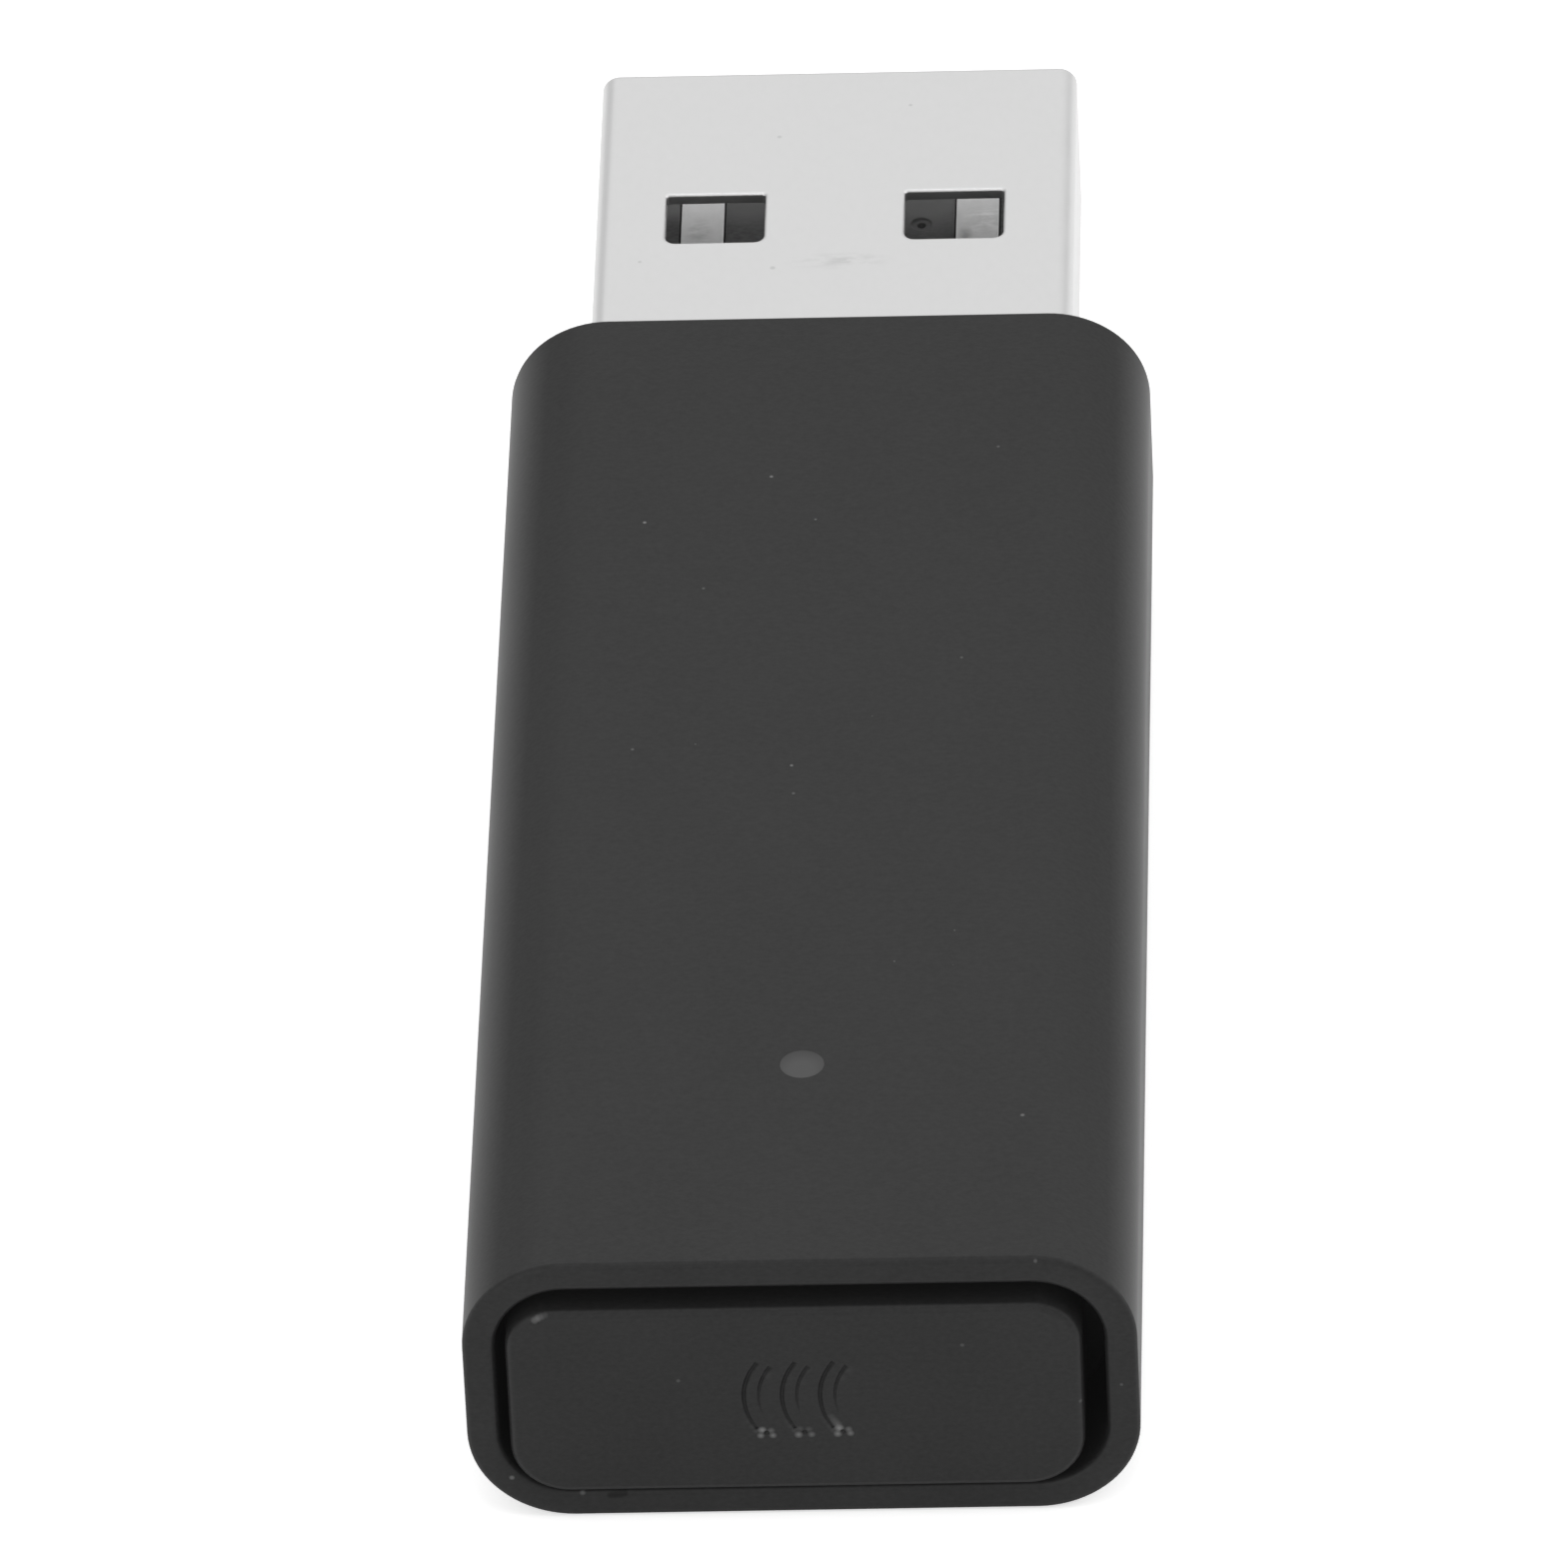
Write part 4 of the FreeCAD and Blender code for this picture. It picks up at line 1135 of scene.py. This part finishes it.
@dataclass
class Plug:
    """The plug: its folded shell, the moulded tongue inside and the four contacts."""

    shell_finish: PlatedSheet
    tongue_finish: Moulding
    contact_finish: PlatedSheet
    width: float = 12.1 * MM
    sheet: float = 0.3 * MM
    corner: float = 0.45 * MM
    lip: float = 0.2 * MM
    window_inset: float = 3.03 * MM
    window_size: tuple[float, float] = (2.5 * MM, 2.06 * MM)
    window_front: float = 5.32 * MM
    window_near_corner: float = 0.3 * MM
    window_far_corner: float = 0.1 * MM
    roll: float = 0.09 * MM
    roll_steps: int = 5
    seam_gap: float = 0.08 * MM
    seam_neck: float = 0.9 * MM
    seam_head: float = 1.3 * MM
    seam_land: float = 0.57 * MM
    seam_cut: float = 0.72 * MM
    lug_length: float = 1.6 * MM
    corner_steps: int = 10
    lip_steps: int = 5
    window_steps: int = 6
    fine_edge: float = 0.03 * MM
    fine_sharp: float = 40.0
    box: Box = field(default_factory=lambda: Box.of("plug_shell"))

    def tube(self) -> bpy.types.Object:
        """The folded tube, open at both ends."""
        solid = Solid()
        centre = self.box.centre
        back, tip = self.box.low.y, self.box.high.y
        sides = (self.width, self.box.size.z)
        spot = Vector((centre.x, back, centre.z))
        radii = (self.corner, self.corner)
        face = solid.sheet(sides, radii, spot, Cross.LENGTH, self.corner_steps)
        ring = solid.inset(face, self.sheet)
        bmesh.ops.delete(solid.bm, geom=[face], context="FACES_ONLY")
        front = set(solid.draw(ring, Vector((0, tip - back, 0))))
        edges = {edge for each in front for edge in each.edges}
        outer = [edge for edge in edges if self.on_outline(edge, tip)]
        solid.soften(outer, self.lip, self.lip_steps)
        return solid.finish("plug_sheet")

    def on_outline(self, edge: bmesh.types.BMEdge, along: float) -> bool:
        """Whether an edge lies on the outer outline at a place along the plug.

        Args:
            edge: The edge.
            along: The place along Y.

        Returns:
            True where both its ends do.
        """
        centre = self.box.centre
        deep, near = -0.8 * self.sheet, 0.1 * self.sheet
        for vert in edge.verts:
            side = abs(vert.co.x - centre.x) - self.width / 2
            rise = abs(vert.co.z - centre.z) - self.box.size.z / 2
            if max(side, rise) < deep or abs(vert.co.y - along) > near:
                return False
        return True

    def lugs(self) -> bpy.types.Object:
        """The two lugs that sit on the board."""
        solid = Solid()
        board = Box.of("circuit_board").high.z
        root = self.width / 2 - self.sheet / 2
        for side in (-1, 1):
            edges = sorted((side * root, side * self.box.high.x))
            solid.block(
                Vector((edges[0], self.box.low.y, board)),
                Vector((edges[1], self.box.low.y + self.lug_length, board + self.sheet)),
            )
        return solid.finish("plug_lugs")

    def window(self, solid: Solid, across: float, along: float, up: int) -> None:
        """Add what one window removes, with the rolled edge that a punch leaves.

        Args:
            solid: The solid to add it to.
            across: The window's middle along X.
            along: Its middle along the plug.
            up: 1 for a window in the top, -1 for one below.
        """
        centre = self.box.centre
        half = self.box.size.z / 2
        foot = Vector((across, along, centre.z + up * (half - 2 * self.sheet)))
        radii = (self.window_near_corner, self.window_far_corner)
        face = solid.sheet(self.window_size, radii, foot, Cross.HEIGHT, self.window_steps)
        face = solid.draw([face], Vector((0, 0, up * (2 * self.sheet - self.roll))))[0]
        turn = math.pi / 2 / self.roll_steps
        spread = 0.0
        for i in range(1, self.roll_steps + 1):
            angle = math.pi / 2 * i / self.roll_steps
            rise = self.roll * (math.sin(angle) - math.sin(angle - turn))
            face = solid.draw([face], Vector((0, 0, up * rise)))[0]
            wider = self.roll * (1 - math.cos(angle))
            sides = [(side + 2 * wider) / (side + 2 * spread) for side in self.window_size]
            solid.stretch(face, Vector((across, along, 0)), sides)
            spread = wider
        solid.draw([face], Vector((0, 0, up * self.sheet)))

    def openings(self) -> bpy.types.Object:
        """The four windows and the seam, as the solid that they remove."""
        solid = Solid()
        along = self.box.high.y - self.window_front - self.window_size[1] / 2
        for side in (-1, 1):
            for up in (-1, 1):
                self.window(solid, side * (self.width / 2 - self.window_inset), along, up)
        low = self.box.low.z - self.sheet
        solid.prism(self.seam(along, low), Vector((0, 0, self.seam_cut)))
        return solid.finish("plug_openings")

    def seam(self, along: float, height: float) -> list[Vector]:
        """The slit's outline: straight, with one dovetail.

        Args:
            along: The dovetail's middle along the plug.
            height: The height that the outline lies at.

        Returns:
            The outline's corners in turn.
        """
        half = self.seam_gap / 2
        neck = self.seam_neck - self.seam_gap
        head = self.seam_head - self.seam_gap * 1.5
        depth = self.width / 2 - self.window_inset - self.window_size[0] / 2 - self.seam_land
        over = self.box.high.y + self.seam_gap
        beyond = self.box.low.y - self.seam_gap
        turns = (
            (half, over),
            (half, along + self.seam_neck),
            (depth, along + self.seam_head),
            (depth, along - self.seam_head),
            (half, along - self.seam_neck),
            (half, beyond),
            (-half, beyond),
            (-half, along - neck),
            (depth - self.seam_gap, along - head),
            (depth - self.seam_gap, along + head),
            (-half, along + neck),
            (-half, over),
        )
        return [Vector((x, y, height)) for x, y in turns]

    def build(self) -> None:
        """Make the plug's pieces and put them in the nodes' stead."""
        shell = self.tube()
        join(shell, self.lugs(), Blend.ADD)
        join(shell, self.openings(), Blend.CUT)
        smooth(shell)
        place(shell, "plug_shell", HOUSING, self.shell_finish.material())
        tongue = copy_of("plug_insulator", "plug_tongue")
        smooth(tongue, self.fine_edge, self.fine_sharp)
        place(tongue, "plug_insulator", HOUSING, self.tongue_finish.material())
        plating = self.contact_finish.material()
        for name in ("power", "data_minus", "data_plus", "ground"):
            strip = copy_of(f"contact_{name}", f"strip_{name}")
            smooth(strip, self.fine_edge, self.fine_sharp)
            place(strip, f"contact_{name}", HOUSING, plating)


@dataclass
class Works:
    """What the sleeve hides: the board and everything on it, kept as packed."""

    finishes: tuple[Moulding | PlatedSheet | Laminate, ...]

    def dress(self) -> None:
        """Give each hidden node the finish that is named as its slot."""
        made = {finish.name: finish.material() for finish in self.finishes}
        for part in frame["record"]["subparts"]:
            if part["material_slot"] in made:
                node = frame["nodes"][part["node"]]
                node.data.materials.clear()
                node.data.materials.append(made[part["material_slot"]])
                LOG.info("%s is dressed as %s", part["node"], part["material_slot"])


@dataclass(frozen=True)
class Lamp:
    """A square soft lamp that faces the adapter: its place and side in metres, and its watts."""

    name: str
    spot: Triple
    size: float
    power: float

    def hang(self) -> None:
        """Put the lamp in the scene."""
        data = bpy.data.lights.new(self.name, "AREA")
        data.shape = "SQUARE"
        data.size = self.size
        data.energy = self.power
        lamp = bpy.data.objects.new(self.name, data)
        lamp.location = self.spot
        lamp.rotation_mode = "QUATERNION"
        lamp.rotation_quaternion = lamp.location.to_track_quat("Z", "Y")
        bpy.context.scene.collection.objects.link(lamp)


LAMPS = (
    Lamp("lamp_above", (0.1, 0.3, 0.9), 2.0, 5.35),
    Lamp("lamp_edges", (0.0, -0.25, 0.95), 0.3, 0.5),
    Lamp("lamp_left", (-0.5, -0.9, 0.4), 1.2, 4.3),
    Lamp("lamp_right", (0.9, 0.1, 0.3), 1.2, 3.2),
)


@dataclass
class Studio:
    """A white table, soft lamps, a pale room and the camera."""

    focal_px: float = 21585.0
    image_px: float = 1569.0
    sensor: float = 36.0
    distance: float = 526.0 * MM
    azimuth: float = math.radians(2.83)
    elevation: float = math.radians(37.55)
    roll: float = math.radians(-2.74)
    offset_px: tuple[float, float] = (33.7, 116.0)
    aim_inside: float = 18.95 * MM
    sight: tuple[float, float] = (0.01, 20.0)
    lamps: tuple[Lamp, ...] = LAMPS
    room: float = 0.6
    table_size: float = 6.0
    table_cells: int = 8
    table_drop: float = 0.03 * MM
    table_grey: float = 0.8
    table_glow: float = 0.55

    def camera(self) -> None:
        """Stand the camera where the photograph was taken from."""
        sleeve = Box.of("housing_sleeve")
        aim = Vector((0, sleeve.low.y + self.aim_inside, sleeve.centre.z))
        a, e, r = self.azimuth, self.elevation, self.roll
        away = Vector((math.sin(a) * math.cos(e), -math.cos(a) * math.cos(e), math.sin(e)))
        level = Vector((math.cos(a), math.sin(a), 0))
        up = away.cross(level)
        right = level * math.cos(r) + up * math.sin(r)
        up = up * math.cos(r) - level * math.sin(r)
        tilt = [offset / self.focal_px for offset in self.offset_px]
        back = (away + right * tilt[0] - up * tilt[1]).normalized()
        right = up.cross(back).normalized()
        up = back.cross(right)
        data = bpy.data.cameras.new("camera")
        data.sensor_width = self.sensor
        data.lens = self.sensor * self.focal_px / self.image_px
        data.clip_start, data.clip_end = self.sight
        camera = bpy.data.objects.new("camera", data)
        turn = Matrix((right, up, back)).transposed().to_4x4()
        camera.matrix_world = Matrix.Translation(aim + away * self.distance) @ turn
        bpy.context.scene.collection.objects.link(camera)
        bpy.context.scene.camera = camera

    def white_to_lens(self, tree: bpy.types.NodeTree) -> Socket:
        """A mask of the rays that show a background.

        Args:
            tree: The node tree that it is made in.

        Returns:
            The mask, 1 for a ray to the lens, by a mirror or through a clear thing.
        """
        path = tree.nodes.new("ShaderNodeLightPath")
        found = path.outputs["Is Camera Ray"]
        for kind in ("Is Glossy Ray", "Is Transmission Ray"):
            either = tree.nodes.new("ShaderNodeMath")
            either.operation = "MAXIMUM"
            tree.links.new(found, either.inputs[0])
            tree.links.new(path.outputs[kind], either.inputs[1])
            found = either.outputs[0]
        return found

    def sky(self) -> None:
        """A pale even room that looks white to the camera."""
        world = bpy.data.worlds.new("room")
        world.use_nodes = True
        bpy.context.scene.world = world
        tree = world.node_tree
        tree.nodes.clear()
        output = tree.nodes.new("ShaderNodeOutputWorld")
        mix = tree.nodes.new("ShaderNodeMixShader")
        light = tree.nodes.new("ShaderNodeBackground")
        light.inputs["Strength"].default_value = self.room
        light.inputs["Color"].default_value = WHITE
        seen = tree.nodes.new("ShaderNodeBackground")
        seen.inputs["Strength"].default_value = 1.0
        seen.inputs["Color"].default_value = WHITE
        tree.links.new(self.white_to_lens(tree), mix.inputs[0])
        tree.links.new(light.outputs[0], mix.inputs[1])
        tree.links.new(seen.outputs[0], mix.inputs[2])
        tree.links.new(mix.outputs[0], output.inputs["Surface"])

    def table(self) -> None:
        """A white table that keeps a faint shadow."""
        solid = Solid()
        bmesh.ops.create_grid(
            solid.bm,
            x_segments=self.table_cells,
            y_segments=self.table_cells,
            size=self.table_size / 2,
            matrix=Matrix.Translation((0, 0, -self.table_drop)),
        )
        table = solid.finish("table")
        material = bpy.data.materials.new("table_white")
        material.use_nodes = True
        tree = material.node_tree
        tree.nodes.clear()
        output = tree.nodes.new("ShaderNodeOutputMaterial")
        matt = tree.nodes.new("ShaderNodeBsdfDiffuse")
        matt.inputs["Color"].default_value = (*(self.table_grey,) * 3, 1.0)
        glow = tree.nodes.new("ShaderNodeEmission")
        glow.inputs["Strength"].default_value = self.table_glow
        both = tree.nodes.new("ShaderNodeAddShader")
        mix = tree.nodes.new("ShaderNodeMixShader")
        tree.links.new(matt.outputs[0], both.inputs[0])
        tree.links.new(glow.outputs[0], both.inputs[1])
        tree.links.new(self.white_to_lens(tree), mix.inputs[0])
        tree.links.new(matt.outputs[0], mix.inputs[1])
        tree.links.new(both.outputs[0], mix.inputs[2])
        tree.links.new(mix.outputs[0], output.inputs["Surface"])
        table.data.materials.append(material)

    def build(self) -> None:
        """Set up the room, the table, the lamps and the camera."""
        self.sky()
        self.table()
        for lamp in self.lamps:
            lamp.hang()
        self.camera()
        bpy.context.scene.view_settings.view_transform = "Standard"


HIDDEN_FINISHES = (
    Moulding("frame_plastic", shade=0.01, dust=0.0),
    Laminate("board_laminate", (0.01, 0.06, 0.025), (0.02, 0.1, 0.04)),
    PlatedSheet("shield_metal", shade=0.6),
    Moulding("chip_plastic", shade=0.03, dust=0.0),
    PlatedSheet("crystal_metal", shade=0.65),
    Laminate("ceramic_part", (0.3, 0.22, 0.14), (0.42, 0.33, 0.22)),
    Laminate("resistor_body", (0.03, 0.03, 0.035), (0.05, 0.05, 0.055)),
    Laminate("inductor_core", (0.1, 0.1, 0.1), (0.18, 0.18, 0.18), roughness=0.6),
    PlatedSheet("antenna_metal", shade=0.62),
    Laminate("lamp_resin", (0.6, 0.6, 0.55), (0.8, 0.8, 0.76), roughness=0.3),
    Moulding("switch_plastic", shade=0.03, dust=0.0),
    PlatedSheet("switch_metal", shade=0.6),
    Moulding("plunger_plastic", shade=0.6, dust=0.0),
)


def main() -> None:
    """Build and dress the adapter, then set up the studio."""
    logging.basicConfig(level=logging.INFO, format="%(message)s")
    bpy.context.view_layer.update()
    Sleeve(Moulding("housing_plastic", shade=0.015, marks=SLEEVE_MARKS)).build()
    glints = ARC_GLINTS + PIT_GLINTS
    ButtonCap(Moulding("button_plastic", shade=0.0149, marks=BUTTON_DUST_AND_PAINTED_HIGHLIGHT, glints=glints)).build()
    LightPipe(shade=0.055, rim_shade=0.02).build()
    Plug(
        PlatedSheet("plug_steel", shade=0.5, marks=PLUG_SPOTS, smudges=PLUG_SMUDGES),
        Moulding("insulator_plastic", shade=0.14, dust=0.0, marks=TONGUE_SHEEN),
        PlatedSheet(
            "contact_metal", shade=0.52, roughness=0.4, mottle=0.05, smudges=CONTACT_SMUDGES_AND_PAINTED_LIGHT
        ),
    ).build()
    Works(HIDDEN_FINISHES).dress()
    Studio().build()


if __name__ == "__main__":
    main()
